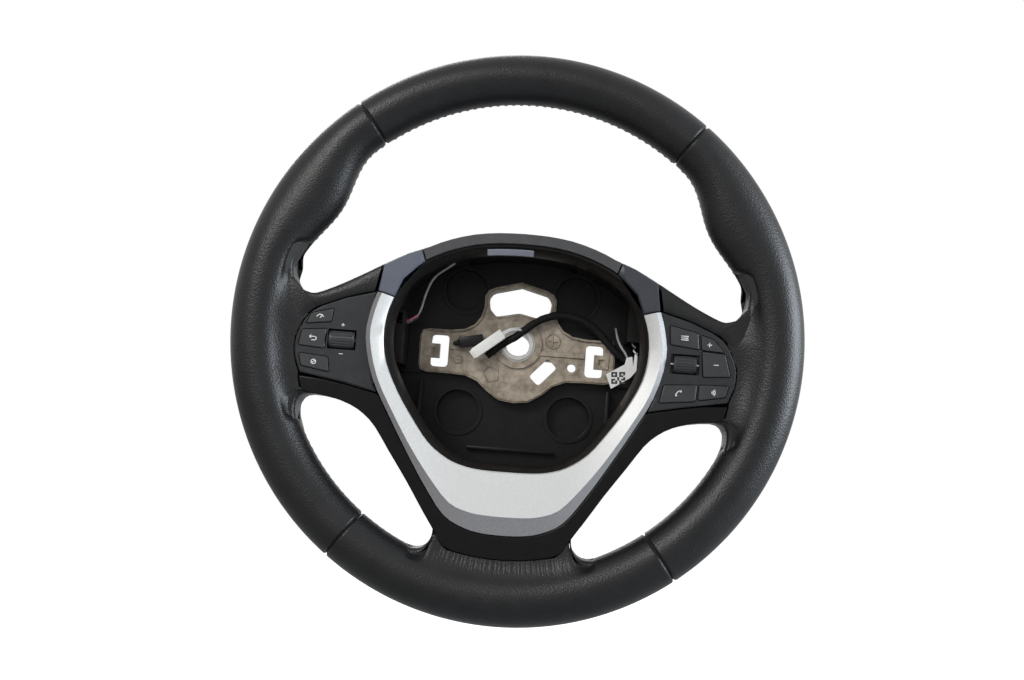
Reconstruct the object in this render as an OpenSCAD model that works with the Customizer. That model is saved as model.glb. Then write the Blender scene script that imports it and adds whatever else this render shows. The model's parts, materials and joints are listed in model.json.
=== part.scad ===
// Leather steering wheel with an open hub, drawn lying on its back and then stood up.
// While it is drawn, X points to 3 o'clock, Y to 12 o'clock and Z to the driver.
// The origin is on the steering axis, at the rear end of the hub bore.

/* [Rim] */
// Outer diameter over the leather
wheel_d = 370; // [360:1:390]
// Width of the grip at 12 o'clock
grip_w = 32; // [28:0.5:35]
// Width of the grip along the lower half
grip_low_w = 35.5; // [32:0.5:38]
// Depth of the grip along the steering axis
grip_depth = 35; // [32:0.5:38]
// Width of the grip at the middle of a thumb rest
thumb_w = 44; // [38:0.5:46]
// Angle of a thumb rest above 3 or 9 o'clock
thumb_angle = 31; // [29:1:35]
// Angle from the middle of a thumb rest to its end
thumb_span = 18; // [14:1:20]
// Thickness of the leather
leather_t = 1.2; // [0.8:0.1:1.6]
// Glue gap between leather and foam
glue_gap = 0.3; // [0.2:0.05:0.5]
// Angle of the upper leather seams above 3 and 9 o'clock
seam_high = 52; // [50:1:60]
// Angle of the lower leather seams below 3 and 9 o'clock
seam_low = 53; // [48:1:60]
// Width of a leather seam
seam_gap = 0.5; // [0.3:0.1:1]

/* [Frame] */
// Height of the rim plane above the rear end of the hub bore
dish = 84; // [78:1:92]
// Width of the cast rim core
core_w = 12; // [9:0.5:14]
// Depth of the cast rim core
core_h = 10; // [8:0.5:12]
// Thickness of the spoke arms
arm_t = 8.7; // [6:0.1:9]
// Width of the side arms
arm_w = 34; // [26:1:38]
// Width of the bottom arm
low_arm_w = 28; // [20:1:34]
// Gap between an arm and the rear cover
arm_gap = 1; // [0.6:0.1:2]
// Height of the hub plate's face above the rear end of the bore
plate_z = 26; // [25:0.5:29]
// Thickness of the hub plate
plate_t = 6; // [4:0.5:6]
// Height of the lip around the hub plate
lip_h = 1; // [0.4:0.1:1.6]
// Width of that lip
lip_w = 1.6; // [1:0.1:2]
// Thickness of the hub's neck walls
neck_t = 3; // [2:0.5:4]
// Radius of the hub boss
boss_r = 16.5; // [15:0.5:18]
// Diameter of the bore for the steering shaft
bore_d = 16; // [14:0.5:18]
// Wall of the steel hub insert
insert_t = 4; // [2.5:0.5:5]

/* [Covers] */
// Height of the spoke faces above the rim plane
face_rise = 8; // [6:0.5:9]
// Wall of the rear cover
cover_t = 2.5; // [2:0.25:3]
// Wall of the hub liner
liner_t = 2.5; // [2:0.25:3]
// Thickness of the face panels
face_t = 3; // [2:0.25:3.5]
// Gap between face panels
face_gap = 0.4; // [0.3:0.05:0.7]
// Rounding of the face panels' edges
face_soft = 1; // [0.6:0.1:1.4]
// Width of the arch over the hub
arch_w = 8; // [7:0.5:9]
// Radius of the four round recesses in the liner floor
cup_r = 14.5; // [10:0.5:15]
// Depth of those recesses
cup_h = 8; // [4:0.5:8]
// Height of the trim's ridge above the spoke faces
ridge_rise = 2.5; // [1:0.25:4]

/* [Switches] */
// Depth of a switch pack
pack_h = 13; // [12:0.5:13]
// Wall of a switch pack
pack_t = 2; // [1.5:0.1:2.2]
// How far the keys stand proud
key_proud = 0.8; // [0.4:0.1:1.4]
// Gap around the keys
key_gap = 0.4; // [0.3:0.05:0.6]
// Travel of a key
key_travel = 1; // [0.6:0.1:1.2]
// Radius of the roller and the rocker barrel
roller_r = 5.6; // [5:0.1:5.8]
// Length of the roller
roller_w = 14.4; // [12:0.2:14.8]
// Length of the rocker barrel
rocker_w = 16; // [14:0.2:16.4]
// Diameter of the rocker and roller pins
pin_d = 2; // [1.6:0.1:2.6]

/* [Fasteners] */
// Diameter of the cover and pack screws
screw_d = 4; // [3:0.5:5]
// Diameter of their heads
screw_head_d = 8; // [7:0.5:9]

/* [Harness] */
// Diameter of the taped sleeve
sleeve_d = 5.4; // [4:0.2:6]
// Diameter of the single wires
wire_d = 1.6; // [1.2:0.1:2]

/* [Hidden] */
$fn = 64;
fit = 0.05;

// Rim
wheel_r = wheel_d / 2;
// The outlines were drawn for a wheel of 370 mm, and grow with it
plan = wheel_d / 370;
low_half = grip_low_w / 2;
core_r = wheel_r - low_half;
rim_in = wheel_r - grip_low_w;
depth_half = grip_depth / 2;
station = 5;
seam_dir = 190;
flare_dir = 128;
flare_n = 4;
round_dirs = [for (i = [0:15]) -flare_dir + i * 2 * flare_dir / 15];
foam_dirs = concat(round_dirs, [for (i = [1:4]) flare_dir + i * (360 - 2 * flare_dir) / 5]);

// Heights
face_z = dish + face_rise;
panel_z = face_z - face_t;
wall_top = panel_z - 0.3;
rear_z = 2.5;
rear_end = dish - 18;
arm_top = rear_z + cover_t + arm_gap + arm_t;
floor_low = arm_top + 0.3;
floor_z = floor_low + 2;
lip_low = face_z - 16;

// The rim ends of the spokes were drawn for this radius, and stretch to the rim from hub_keep outwards
drawn_r = 149.5 * plan;
hub_keep = 100 * plan;

// Right halves of the outlines, from 6 o'clock round to 12 o'clock
trim_in = plan * [
    [0, -87], [14, -86.8], [26, -85.4], [38, -81.3], [51, -72], [62, -58],
    [73, -41.5], [82, -23], [85, -6.5], [84, 8], [80.5, 19.3]
];
trim_ridge = plan * [
    [0, -115.3], [11, -115], [22, -113.7], [35, -108.5], [49, -93], [62.5, -74.5],
    [75.5, -53.5], [87, -32], [93.3, -8], [91.5, 9.5], [88, 21.3]
];
trim_out = plan * [
    [0, -127], [12, -126.5], [24, -124], [38, -116.5], [52, -98], [65, -77.5],
    [78, -55.5], [90, -33], [96.3, -8], [94.5, 10], [91, 22]
];
arch_in = plan * [[75, 32], [66, 40.5], [56, 46.8], [44, 52], [30, 56], [15, 58], [0, 58.5]];
low_edge = plan * [
    [46.5, -140], [43.5, -132], [44, -126.5], [51, -116], [63, -97.5], [76, -79],
    [86, -64.5], [94, -56.8], [103, -51.5], [116, -47.5], [130, -46], [136, -48.5], [138.5, -54]
];
high_edge = plan * [
    [144.5, 33.5], [143.5, 26.5], [139.5, 20.8], [131, 18.5], [118.5, 23.5], [106, 30],
    [88, 41], [73, 49], [67, 51.2]
];
panel_side = plan * [[137, -33], [140.5, -24], [141.5, -17], [141, -10], [137, 0], [131.6, 7]];
panel_top = plan * [[125, 11], [111, 16.8]];
panel_low = plan * [[86.7, -42.4], [108, -38]];
cover_low = plan * [[0, -142.6], [14, -141.9], [29, -139.4], [37.5, -136], [42, -129]];
shoulder_line = plan * [
    [80.4, 20.2], [90.8, 22.9], [88.3, 40.2], [73.5, 48.4],
    [64.8, 51.8], [62.2, 44.6], [66.6, 40.9], [75.4, 32.3]
];
plate_half = [
    [0, -40.3], [10, -39], [19.5, -33], [26, -27], [34.5, -23.7], [45, -23.1], [61, -23.1],
    [65.8, -21.6], [67, -17.5], [67, 1.5], [65.5, 5.5], [61, 6.6], [47, 6.6], [37, 8],
    [30.5, 11.5], [26.5, 17], [24.5, 24], [24.5, 32], [22.5, 35.6], [18, 38], [0, 42.7]
];
top_hole = [[0, 21.5], [16, 18], [20.5, 23], [21.5, 30], [18.5, 34.5], [0, 39.6]];

// Keys, as seen by the driver
limit_key = plan * [[-135.4, -1.6], [-119, 0.6], [-118, 9.3], [-132.1, 5.6]];
resume_key = plan * [[-139.3, -15.7], [-122, -16.8], [-121.6, -4], [-137.6, -5.5]];
cancel_key = plan * [[-136.5, -28.8], [-118.1, -31.7], [-119.4, -22.1], [-138.4, -20.6]];
mode_key = plan * [[98.4, 1.8], [117.2, -0.2], [115.7, 10.3], [97.5, 14.1]];
plus_key = plan * [[118.4, -0.4], [133.2, -1.2], [125.9, 6.9], [117.6, 9.2]];
minus_key = plan * [[120.3, -17.6], [138, -16.3], [133.7, -1.9], [118.8, -1.2]];
phone_key = plan * [[93.4, -36], [116.5, -33.4], [117, -22.8], [95.9, -24.3]];
voice_key = plan * [[118, -32.7], [135.3, -29.5], [137.3, -22], [118.3, -22.7]];
roller_at = plan * [108.5, -10.2];
rocker_at = plan * [-111.5, -10.3];
barrel_z = face_z - 3.2;
roller_recess = [roller_w + 3.9, 2 * roller_r + 1.7];
rocker_recess = [rocker_w + 2.3, 2 * roller_r + 1.7];
barrel_ribs = 18;

// Centres of recesses and screws
cups = plan * [[38, 35.5], [-38, 35.5], [-38, -48], [38, -48]];
arm_y = -8.3;
cover_screw_at = [[75 * plan, arm_y], [-75 * plan, arm_y], [0, -62 * plan]];
pack_screw_at = plan * [[126, -19], [104, 3], [-126, -12], [-104, 6]];

// Route points of the harness, chosen by hand along its run
// Away from the hub plate they spread with the wheel
function spread(p) = [for (q = p) let (k = 1 + (plan - 1) * ease((norm([q[0], q[1]]) - 20) / 40))
    [q[0] * k, q[1] * k, q[2]]];
sleeve_route = spread([
    [-20.5, -9.7, 31.5], [-11.5, -1.8, 32], [-1.5, 4.8, 32.5], [7, 12, 33], [15, 17.5, 33],
    [25, 21, 33], [36, 20.8, 33], [46, 17.6, 32.5], [54, 12, 32], [61, 5, 32], [67, -1, 32],
    [73, -5, 32], [78, -6.4, 32], [82, -6.5, 32], [86, -6.5, 32]
]);
white_route = [[-10.5, 5.4, 38], [-6, 8.4, 37.5], [-2, 9.4, 36], [1.5, 9.6, 34.2]];
left_route = spread([
    [-45.6, 50, 49], [-50.6, 46.3, 48], [-57, 41.8, 45], [-61, 37, 43], [-64.5, 28, 41],
    [-67, 18, 40], [-70, 12, 40], [-75, 8.4, 40], [-79, 7.5, 40], [-83.6, 7.4, 40]
]);
right_route = spread([
    [66.5, 16, 17], [66.5, 16, 23], [66.4, 14.6, 30], [66.7, 11.4, 35.6], [67.8, 6.5, 40], [70.2, 1.6, 43],
    [73, -2.4, 44.8], [75.2, -7, 45.4]
]);
tag_outline = plan * [
    [60.8, -17.2], [64.8, -26.7], [77, -18.6], [79.6, -15.4], [81, -13.2], [81, -1.5], [79.1, -1.5],
    [78.6, -11], [77.6, -4.2], [73.8, -5.2], [72.8, -9.8]
];
tag_z = 46;
sleeve_exit = [80.5 * plan, -6.5 * plan, 32];
wire_exit = [-75 * plan, 7.4 * plan, 40];

// Curves and outlines

// One point of a smooth curve between b and c, with a and d as their neighbours
function bend(a, b, c, d, t) =
    0.5 * (2 * b + (c - a) * t + (2 * a - 5 * b + 4 * c - d) * t * t + (3 * b - a - 3 * c + d) * t * t * t);

// A smooth open curve through p, with n steps between its points
function curve(p, n) = let (m = len(p)) concat(
    [for (i = [0:m - 2], j = [0:n - 1]) bend(p[max(i - 1, 0)], p[i], p[i + 1], p[min(i + 2, m - 1)], j / n)],
    [p[m - 1]]
);

// p read backwards
function back(p) = [for (i = [len(p) - 1:-1:0]) p[i]];

// p on the left side, in reversed order
function left(p) = [for (i = [len(p) - 1:-1:0]) if (p[i][0] > 0.01) [-p[i][0], p[i][1]]];

// A right half closed with its mirror image
function both(p) = concat(p, left(p));

// p moved out of its closed outline by d
function grow(p, d) = let (n = len(p)) [
    for (i = [0:n - 1]) let (a = p[(i + n - 1) % n], b = p[i], c = p[(i + 1) % n],
        u = (b - a) / norm(b - a), v = (c - b) / norm(c - b), w = u + v)
        b + d * 2 * [w[1], -w[0]] / (w * w)
];

// An open line moved to its left by d
function beside(p, d) = let (n = len(p)) [
    for (i = [0:n - 1]) let (t = p[min(i + 1, n - 1)] - p[max(i - 1, 0)]) p[i] + d * [-t[1], t[0]] / norm(t)
];

// A closed outline with its corners rounded by r
function rounded(p, r) = let (n = len(p)) [
    for (i = [0:n - 1], t = [0:0.25:1]) let (a = p[(i + n - 1) % n], b = p[i], c = p[(i + 1) % n],
        q = b + r * (a - b) / norm(a - b), s = b + r * (c - b) / norm(c - b))
        (1 - t) * (1 - t) * q + 2 * t * (1 - t) * b + t * t * s
];

// p stretched outwards, so that what was drawn at the rim still reaches it
function reach(p) = [
    for (q = p) let (r = norm(q))
        r <= hub_keep ? q : q * (hub_keep + (r - hub_keep) * (rim_in - hub_keep) / (drawn_r - hub_keep)) / r
];

// An arc of radius r about the steering axis
function arc(r, a, b, n) = [for (i = [0:n]) let (t = a + (b - a) * i / n) r * [cos(t), sin(t)]];

// Angle of a point about the steering axis
function dir(q) = atan2(q[1], q[0]);

well = both(concat(curve(concat(trim_in, arch_in), 2)));
trim_edge = curve(trim_out, 2);
spoke_end = rim_in - 1.3;
low_line = curve(reach(low_edge), 2);
high_line = concat(
    curve(reach(high_edge), 2),
    [for (q = grow(well, arch_w)) if (q[0] > 0.01 && q[0] < 63 * plan && q[1] > 0) q],
    [[0, arch_in[6][1] + arch_w]]
);
spider = both(concat(
    arc(spoke_end, -90, dir(low_line[0]) - 0.3, 5), low_line,
    arc(spoke_end, dir(low_line[24]) + 0.4, dir(high_line[0]) - 0.4, 8), high_line
));

// The space inside the spider's walls of thickness t, open at the three rim ends
far = wheel_r;
function onward(a, b) = a + 14 * (a - b) / norm(a - b);
function cavity(t) = let (
    low = beside(low_line, t),
    high = concat([for (q = beside(high_line, t)) if (q[0] > 1) q], [[0, arch_in[6][1] + arch_w - t]]),
    a = onward(low[0], low[2]), b = onward(low[24], low[22]), c = onward(high[0], high[2])
) both(concat([[0, -far], [a[0], -far], a], low, [b, [far, b[1]], [far, c[1]], c], high));
panel = concat(
    panel_low, reach(concat([plan * [122, -35.6]], curve(panel_side, 2), panel_top)),
    [for (q = back(beside(trim_edge, -face_gap))) if (q[1] > -38 * plan) q]
);

// Rear line of the cover, from the steering axis to the rim, and on to the rim core
rear_line = [
    [0, rear_z], [89 * plan, rear_z], [99.5 * plan, rear_z + 5],
    [107 * plan, rear_z + 0.35 * (rear_end - rear_z)], [113.5 * plan, rear_z + 0.62 * (rear_end - rear_z)],
    [122 * plan, rear_z + 0.84 * (rear_end - rear_z)],
    [rim_in - 15, rear_z + 0.94 * (rear_end - rear_z)], [rim_in + 1, rear_end], [core_r + 3, rear_end + 8]
];

// Width of the grip at angle t
function thumb(t) = let (d = min(abs(t - thumb_angle), abs(t - 180 + thumb_angle)))
    d < thumb_span ? 0.5 + 0.5 * cos(180 * d / thumb_span) : 0;
function ease(x) = let (c = min(max(x, 0), 1)) c * c * (3 - 2 * c);
function half_w(t) = let (base = grip_low_w + (grip_w - grip_low_w) * ease((sin(t) - 0.3) / 0.45))
    (base + (thumb_w - base) * thumb(t)) / 2;

// A point of the grip's section at angle t, direction s, and d below the surface, as radius and height
function grip(t, s, d) = [
    wheel_r - half_w(t) + (half_w(t) - d) * cos(s),
    dish + (depth_half - d) * sin(s)
];

// How far the leather opens for a spoke at angle t, from 0 to 1
function window(t, a, b) = ease((t - a) / 5) * ease((b - t) / 5);
function opening(t) = window(t, -27.5, 19.5) + window(t, 160.5, 207.5) + window(t, 246, 294);
function turn(t) = t < -90 ? t + 360 : t;

// Outer line of the leather at angle t, from its rear edge over the outside to its front edge
function flare(t, side, goal) = let (a = grip(t, side * flare_dir, 0), w = opening(turn(t))) [
    for (i = [1:flare_n]) let (f = i / flare_n,
        s = side > 0 ? flare_dir + f * (seam_dir - flare_dir) : -flare_dir - f * (360 - seam_dir - flare_dir),
        middle = [lerp(a[0], goal[0], 0.45), lerp(goal[1], a[1], 0.1)],
        open = (1 - f) * (1 - f) * a + 2 * f * (1 - f) * middle + f * f * goal)
        (1 - w) * grip(t, s - side * 0.8 * f, 0) + w * open
];
function lerp(a, b, t) = a + (b - a) * t;
function skin(t) = concat(
    back(flare(t, -1, [rim_in - 0.6, rear_end + 0.8])),
    [for (s = round_dirs) grip(t, s, 0)],
    flare(t, 1, [rim_in - 6.4, face_z])
);
function skin_ring(t) = let (p = skin(t), q = back(beside(p, leather_t))) [
    for (v = back(concat(p, q))) [v[0] * cos(t), v[0] * sin(t), v[1]]
];

// A solid through closed rings of points, with flat ends
module skinned(rings) {
    n = len(rings[0]);
    m = len(rings);
    polyhedron(
        points = [for (r = rings) each r],
        faces = concat(
            [[for (i = [0:n - 1]) i]],
            [for (k = [0:m - 2], i = [0:n - 1]) each [
                [k * n + i, k * n + n + i, k * n + n + (i + 1) % n],
                [k * n + i, k * n + n + (i + 1) % n, k * n + (i + 1) % n]
            ]],
            [[for (i = [n - 1:-1:0]) (m - 1) * n + i]]
        ),
        convexity = 8
    );
}

// The outline p lifted to height z
function lift(p, z) = [for (q = p) [q[0], q[1], z]];

// A slab with a rounded front edge
module soft_slab(p, z0, z1, r) {
    skinned([
        lift(p, z0), lift(p, z1 - r), lift(grow(p, -0.3 * r), z1 - 0.3 * r), lift(grow(p, -r), z1)
    ]);
}

module slab(p, z0, z1) {
    translate([0, 0, z0]) linear_extrude(z1 - z0) polygon(p);
}

// A wall of thickness t inside the outline p
module wall(p, t, z0, z1) {
    translate([0, 0, z0]) linear_extrude(z1 - z0) difference() {
        polygon(p);
        polygon(grow(p, -t));
    }
}

module rod(at, r, z0, z1) {
    translate([at[0], at[1], z0]) cylinder(r = r, h = z1 - z0);
}

module block(low, high) {
    translate(low) cube(high - low);
}

// A round tube along the points p, which never runs along side
module tube(p, r, sides, side) {
    n = len(p);
    skinned([for (i = [0:n - 1]) let (
        t = p[min(i + 1, n - 1)] - p[max(i - 1, 0)],
        u = cross(t, side) / norm(cross(t, side)),
        v = cross(t, u) / norm(t)
    ) [for (k = [0:sides - 1]) p[i] + r * (cos(360 * k / sides) * u + sin(360 * k / sides) * v)]]);
}

// Stands the wheel up, facing the driver
module stand() {
    rotate([90, 0, 0]) children();
}

// Hub plate, boss, spoke arms and rim core: one casting

module plate_holes(z0, z1) {
    slab(rounded(both(top_hole), 2), z0, z1);
    for (s = [-1, 1]) translate([s * 53, -8, 0])
        slab(rounded([[-6, -11], [6, -11], [6, 11], [-6, 11]], 3), z0, z1);
    translate([18.6, -17.7, 0]) rotate(47.6)
        slab(rounded([[-9, -4.6], [9, -4.6], [9, 4.6], [-9, 4.6]], 2.5), z0, z1);
    rod([37.9, -13.5], 2.9, z0, z1);
}

// The space in front of the rear line moved forward by d, up to height top
module dish_inside(d, top) {
    line = beside(rear_line, d);
    rotate_extrude($fn = 96) polygon(concat(
        [[0, line[0][1]]], [for (i = [1:8]) line[i]], [[line[8][0], top], [0, top]]
    ));
}

// Three arms of one thickness, that follow the dish from the neck to the rim core
module arms() {
    gap = cover_t + arm_gap;
    intersection() {
        difference() {
            dish_inside(gap, dish);
            dish_inside(gap + arm_t, dish + 1);
        }
        union() {
            block([62, arm_y - arm_w / 2, 0], [core_r, arm_y + arm_w / 2, face_z]);
            block([-core_r, arm_y - arm_w / 2, 0], [-62, arm_y + arm_w / 2, face_z]);
            block([-low_arm_w / 2, -core_r, 0], [low_arm_w / 2, -35, face_z]);
        }
    }
}

module rim_core() {
    rotate_extrude($fn = 96) translate([core_r, dish]) difference() {
        square([core_w, core_h], center = true);
        translate([0, -core_h / 2 + 1.2]) square([core_w - 6, core_h / 2], center = true);
    }
}

// Height inside the arm from which a boss at c rises
function boss_foot(c) = lookup(norm(c) + 6, rear_line) + 6;

module armature() stand() color([0.60, 0.55, 0.47]) difference() {
    plate = both(plate_half);
    union() {
        difference() {
            union() {
                slab(plate, plate_z - plate_t, plate_z);
                wall(plate, lip_w, plate_z - 0.5, plate_z + lip_h);
            }
            plate_holes(0, plate_z + 9);
        }
        // neck walls, open behind the windows
        difference() {
            wall(grow(plate, -3), neck_t, rear_z + cover_t + arm_gap, plate_z - plate_t + 0.5);
            slab(grow(rounded(both(top_hole), 2), 1.2), 0, plate_z);
            for (s = [-1, 1]) block([s * 53 - 6.8, -22, 0], [s * 53 + 6.8, 6, plate_z]);
        }
        rod([0, 0], boss_r + 3, 0, plate_z - plate_t + 0.5);
        rod([0, 0], boss_r, plate_z - 1, plate_z + 2);
        // raised edge of the top window
        wall(grow(rounded(both(top_hole), 2), 1.4), 1.3, plate_z - 0.5, plate_z + lip_h);
        for (s = [-1, 1]) {
            // rib along each arm of the plate
            block([min(s * 16, s * 46.5), -6.5, plate_z - 0.5], [max(s * 16, s * 46.5), -3.5, plate_z + 1.4]);
            // ribs inside the neck
            block([min(s * 18, s * 46), -9.5, 8], [max(s * 18, s * 46), -6.5, plate_z - plate_t + 0.5]);
            // clip boss that reaches into the side window
            block([s * 58 - 5, -13, plate_z - plate_t], [s * 58 + 5, -3.4, plate_z + 0.8]);
        }
        rod([37.9, -13.5], 4.8, plate_z - 0.5, plate_z + 0.6);
        arms();
        rim_core();
        // bosses for the switch packs
        for (c = pack_screw_at) rod(c, screw_d, boss_foot(c), pack_low());
    }
    rod([0, 0], bore_d / 2 + insert_t, -1, plate_z + 9);
    rod([37.9, -13.5], 2.9, 0, plate_z + 9);
    for (s = [-1, 1]) block([s * 58 - 2, -10.2, plate_z - 1], [s * 58 + 2, -6.2, plate_z + 2]);
    for (c = cover_screw_at) rod(c, screw_d / 2, 0, arm_top - 1.5);
    for (c = pack_screw_at) rod(c, screw_d / 2, pack_low() - 10, pack_low() + 1);
}

module hub_insert() stand() color([0.62, 0.62, 0.64]) difference() {
    union() {
        rod([0, 0], bore_d / 2 + insert_t, 0, plate_z + 2);
        rod([0, 0], bore_d / 2 + insert_t - 1, plate_z + 2, plate_z + 2.8);
    }
    rod([0, 0], bore_d / 2, -1, plate_z + 9);
}

// Foam around the core, and the four leather panels around the foam

module rim_foam() stand() color([0.12, 0.12, 0.12]) difference() {
    steps = 360 / station;
    m = len(foam_dirs);
    depth = leather_t + glue_gap;
    polyhedron(
        points = [for (k = [0:steps - 1], i = [m - 1:-1:0])
            let (t = k * station, g = grip(t, foam_dirs[i], depth))
            [g[0] * cos(t), g[0] * sin(t), g[1]]],
        faces = [for (k = [0:steps - 1], i = [0:m - 1]) let (
                a = k * m + i, b = ((k + 1) % steps) * m + i,
                c = ((k + 1) % steps) * m + (i + 1) % m, d = k * m + (i + 1) % m)
            each [[a, b, c], [a, c, d]]],
        convexity = 8
    );
    rim_core();
    arms();
}

// One leather panel from angle a to angle b
module leather(a, b) {
    edge = seam_gap / 2 / wheel_r * 180 / PI;
    skinned([for (t = concat(
        [a + edge], [for (k = [ceil((a + 1) / station):floor((b - 1) / station)]) k * station], [b - edge]
    )) skin_ring(t)]);
}

// The leather's tongue along the top of the right spoke
module tongue() {
    inner = reach(plan * [[142.3, -10], [138, 0.6], [132.2, 7.6], [125.2, 11.5], [111, 17.3], [93, 22.4]]);
    outer = reach(plan * [
        [89, 39.4], [106, 29.6], [118.5, 23.1], [131, 18.1], [140, 20.4], [144, 26.5], [147, 27], [147, -8]
    ]);
    slab(concat(back(inner), back(outer)), face_z - 1.8, face_z - 0.1);
}

module leather_top() stand() color([0.10, 0.10, 0.11]) leather(seam_high, 180 - seam_high);
module leather_left() stand() color([0.10, 0.10, 0.11]) {
    leather(180 - seam_high, 180 + seam_low);
    mirror([1, 0, 0]) tongue();
}
module leather_bottom() stand() color([0.10, 0.10, 0.11]) leather(180 + seam_low, 360 - seam_low);
module leather_right() stand() color([0.10, 0.10, 0.11]) {
    leather(-seam_low, seam_high);
    tongue();
}

// Rear cover: a dish with the outline of hub and spokes, open to the driver

module back_cover() stand() color([0.16, 0.16, 0.17]) difference() {
    union() {
        difference() {
            intersection() {
                slab(spider, 0, wall_top);
                dish_inside(0, wall_top + 1);
            }
            intersection() {
                slab(cavity(cover_t), 0, wall_top + 1);
                dish_inside(cover_t, wall_top + 2);
            }
        }
        // arch over the hub
        arch = concat(
            plan * [[63.9, 51.9]],
            [for (q = grow(well, arch_w - 0.3)) if (q[1] > 40 * plan && abs(q[0]) < 60 * plan) q],
            plan * [[-63.9, 51.9]]
        );
        brow = concat(
            plan * [[61.6, 45.2]],
            [for (q = grow(well, liner_t - 1.2)) if (q[1] > 40 * plan && abs(q[0]) < 61 * plan) q],
            plan * [[-61.6, 45.2]]
        );
        slab(concat(arch, back(brow)), wall_top - 6, face_z);
        for (c = cover_screw_at) rod(c, screw_d, rear_z + 1, rear_z + cover_t + arm_gap - 0.15);
    }
    slab(grow(both(plate_half), -1.5), -1, rear_z + cover_t + 1);
    for (c = cover_screw_at) rod(c, screw_d / 2 + 0.2, -1, arm_top);
    // steering column recess around the boss
    rod([0, 0], boss_r + 9, -1, rear_z + cover_t + 1);
}

// Liner: the dark well round the hub plate

module hub_liner() stand() color([0.09, 0.08, 0.08]) difference() {
    union() {
        slab(grow(well, liner_t - 1.5), floor_low, wall_top);
        for (c = cups) rod(c, cup_r + 2, floor_z - cup_h - 2, floor_z);
    }
    difference() {
        slab(grow(well, -1.5), floor_z, lip_low);
        // ribs and pads on the floor
        for (s = [-1, 1]) {
            block([s * 64 - 1, -62, floor_z - 1], [s * 64 + 1, -28, floor_z + 9]);
            block([s * 72 - 7, -24, floor_z - 1], [s * 72 + 7, 8, plate_z - plate_t - 0.4]);
        }
        // holders on the side walls
        block([-90 * plan, -20.5 * plan, floor_z - 1], [-75.5 * plan, 14.5 * plan, 60]);
        block([73 * plan, 5 * plan, floor_z - 1], [90 * plan, 34 * plan, 54]);
        block([-30, -73.5 * plan, floor_z - 1], [30, -73.5 * plan + 2, floor_z + 5]);
        for (c = cups) rod(c, cup_r + 2.5, floor_z - 1, floor_z + 1.2);
    }
    skinned([lift(grow(well, -5), lip_low - 0.1), lift(grow(well, -0.6), wall_top + 0.1)]);
    for (c = cups) rod(c, cup_r, floor_z - cup_h, floor_z + 5);
    slab(grow(both(plate_half), -2.4), floor_low - 20, floor_z + 5);
    // ways out for the harness sleeve and the left wire, which crosses a slot in its holder
    translate(sleeve_exit - [10.5, 0, 0]) rotate([0, 90, 0]) cylinder(r = sleeve_d / 2 + 1.4, h = 24);
    translate(wire_exit) rotate([0, 90, 180]) cylinder(r = wire_d / 2 + 0.4, h = 14);
    block([-81 * plan, 5.5 * plan, wire_exit[2] - 3], [-77.2 * plan, 13 * plan, 61]);
}

// Face pieces

module shoulder() soft_slab(shoulder_line, panel_z, face_z, face_soft);
module shoulder_right() stand() color([0.24, 0.25, 0.29]) shoulder();
module shoulder_left() stand() color([0.24, 0.25, 0.29]) mirror([1, 0, 0]) shoulder();

// U-shaped trim: a bright inner band that rises to a ridge, and a bevel outside it
module trim() stand() color([0.80, 0.81, 0.84]) {
    inner = concat(left(curve(trim_in, 3)), curve(trim_in, 3));
    ridge = concat(left(curve(trim_ridge, 3)), curve(trim_ridge, 3));
    outer = concat(left(curve(trim_out, 3)), curve(trim_out, 3));
    skinned([for (i = [0:len(inner) - 1])
        let (a = inner[i], b = ridge[i], c = outer[i], d = (c - a) / norm(c - a)) [
        [a[0] + d[0] * 0.6, a[1] + d[1] * 0.6, panel_z],
        [a[0], a[1], panel_z + 1],
        [a[0], a[1], face_z - 0.6],
        [a[0] + d[0] * 0.8, a[1] + d[1] * 0.8, face_z + 0.4],
        [b[0], b[1], face_z + ridge_rise], [c[0], c[1], face_z + 0.2], [c[0], c[1], panel_z]
    ]]);
}

module lower_cover() stand() color([0.13, 0.13, 0.13]) {
    out = concat(
        curve(concat(reach(cover_low), [for (i = [3:10]) reach(low_edge)[i] + [-0.1, 0.1]]), 2),
        reach(plan * [[135.4, -43.8], [137.2, -35.2], [122, -36.3]]), plan * [[108, -38.7], [86.4, -43.2]]
    );
    in = [for (q = back(beside(trim_edge, -face_gap))) if (q[1] < -43.5 * plan) q];
    slab(both(concat(out, in)), panel_z, face_z);
}

module cover_screws() stand() color([0.35, 0.35, 0.36]) for (c = cover_screw_at) {
    rod(c, screw_head_d / 2, rear_z - 2.2, rear_z);
    rod(c, screw_d / 2 - fit, rear_z, arm_top - 2);
}

// Switch packs

function pack_low() = face_z - pack_h;
function mat_z() = face_z - 7.6;

module barrel_window(at, size, z0, z1) {
    block([at[0] - size[0] / 2, at[1] - size[1] / 2, z0], [at[0] + size[0] / 2, at[1] + size[1] / 2, z1]);
}

module pack_shell(p, keys, at, size) {
    inner = grow(p, -pack_t);
    difference() {
        soft_slab(p, pack_low(), face_z, face_soft);
        slab(inner, pack_low() - 1, face_z - 2);
        for (k = keys) slab(grow(rounded(reach(k), 1.2), key_gap), key_low - key_travel - 0.3, face_z + 1);
        barrel_window(at, size, face_z - 3, face_z + 1);
    }
}

module pack_base(p, screws) difference() {
    slab(grow(p, -pack_t - 0.2), pack_low(), pack_low() + 2.2);
    for (c = screws) rod(c, screw_d / 2 + 0.2, pack_low() - 5, face_z);
}

module key(p, z0) {
    q = grow(rounded(reach(p), 1.2), -0.05);
    soft_slab(q, z0, face_z + key_proud, 0.6);
}

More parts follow.
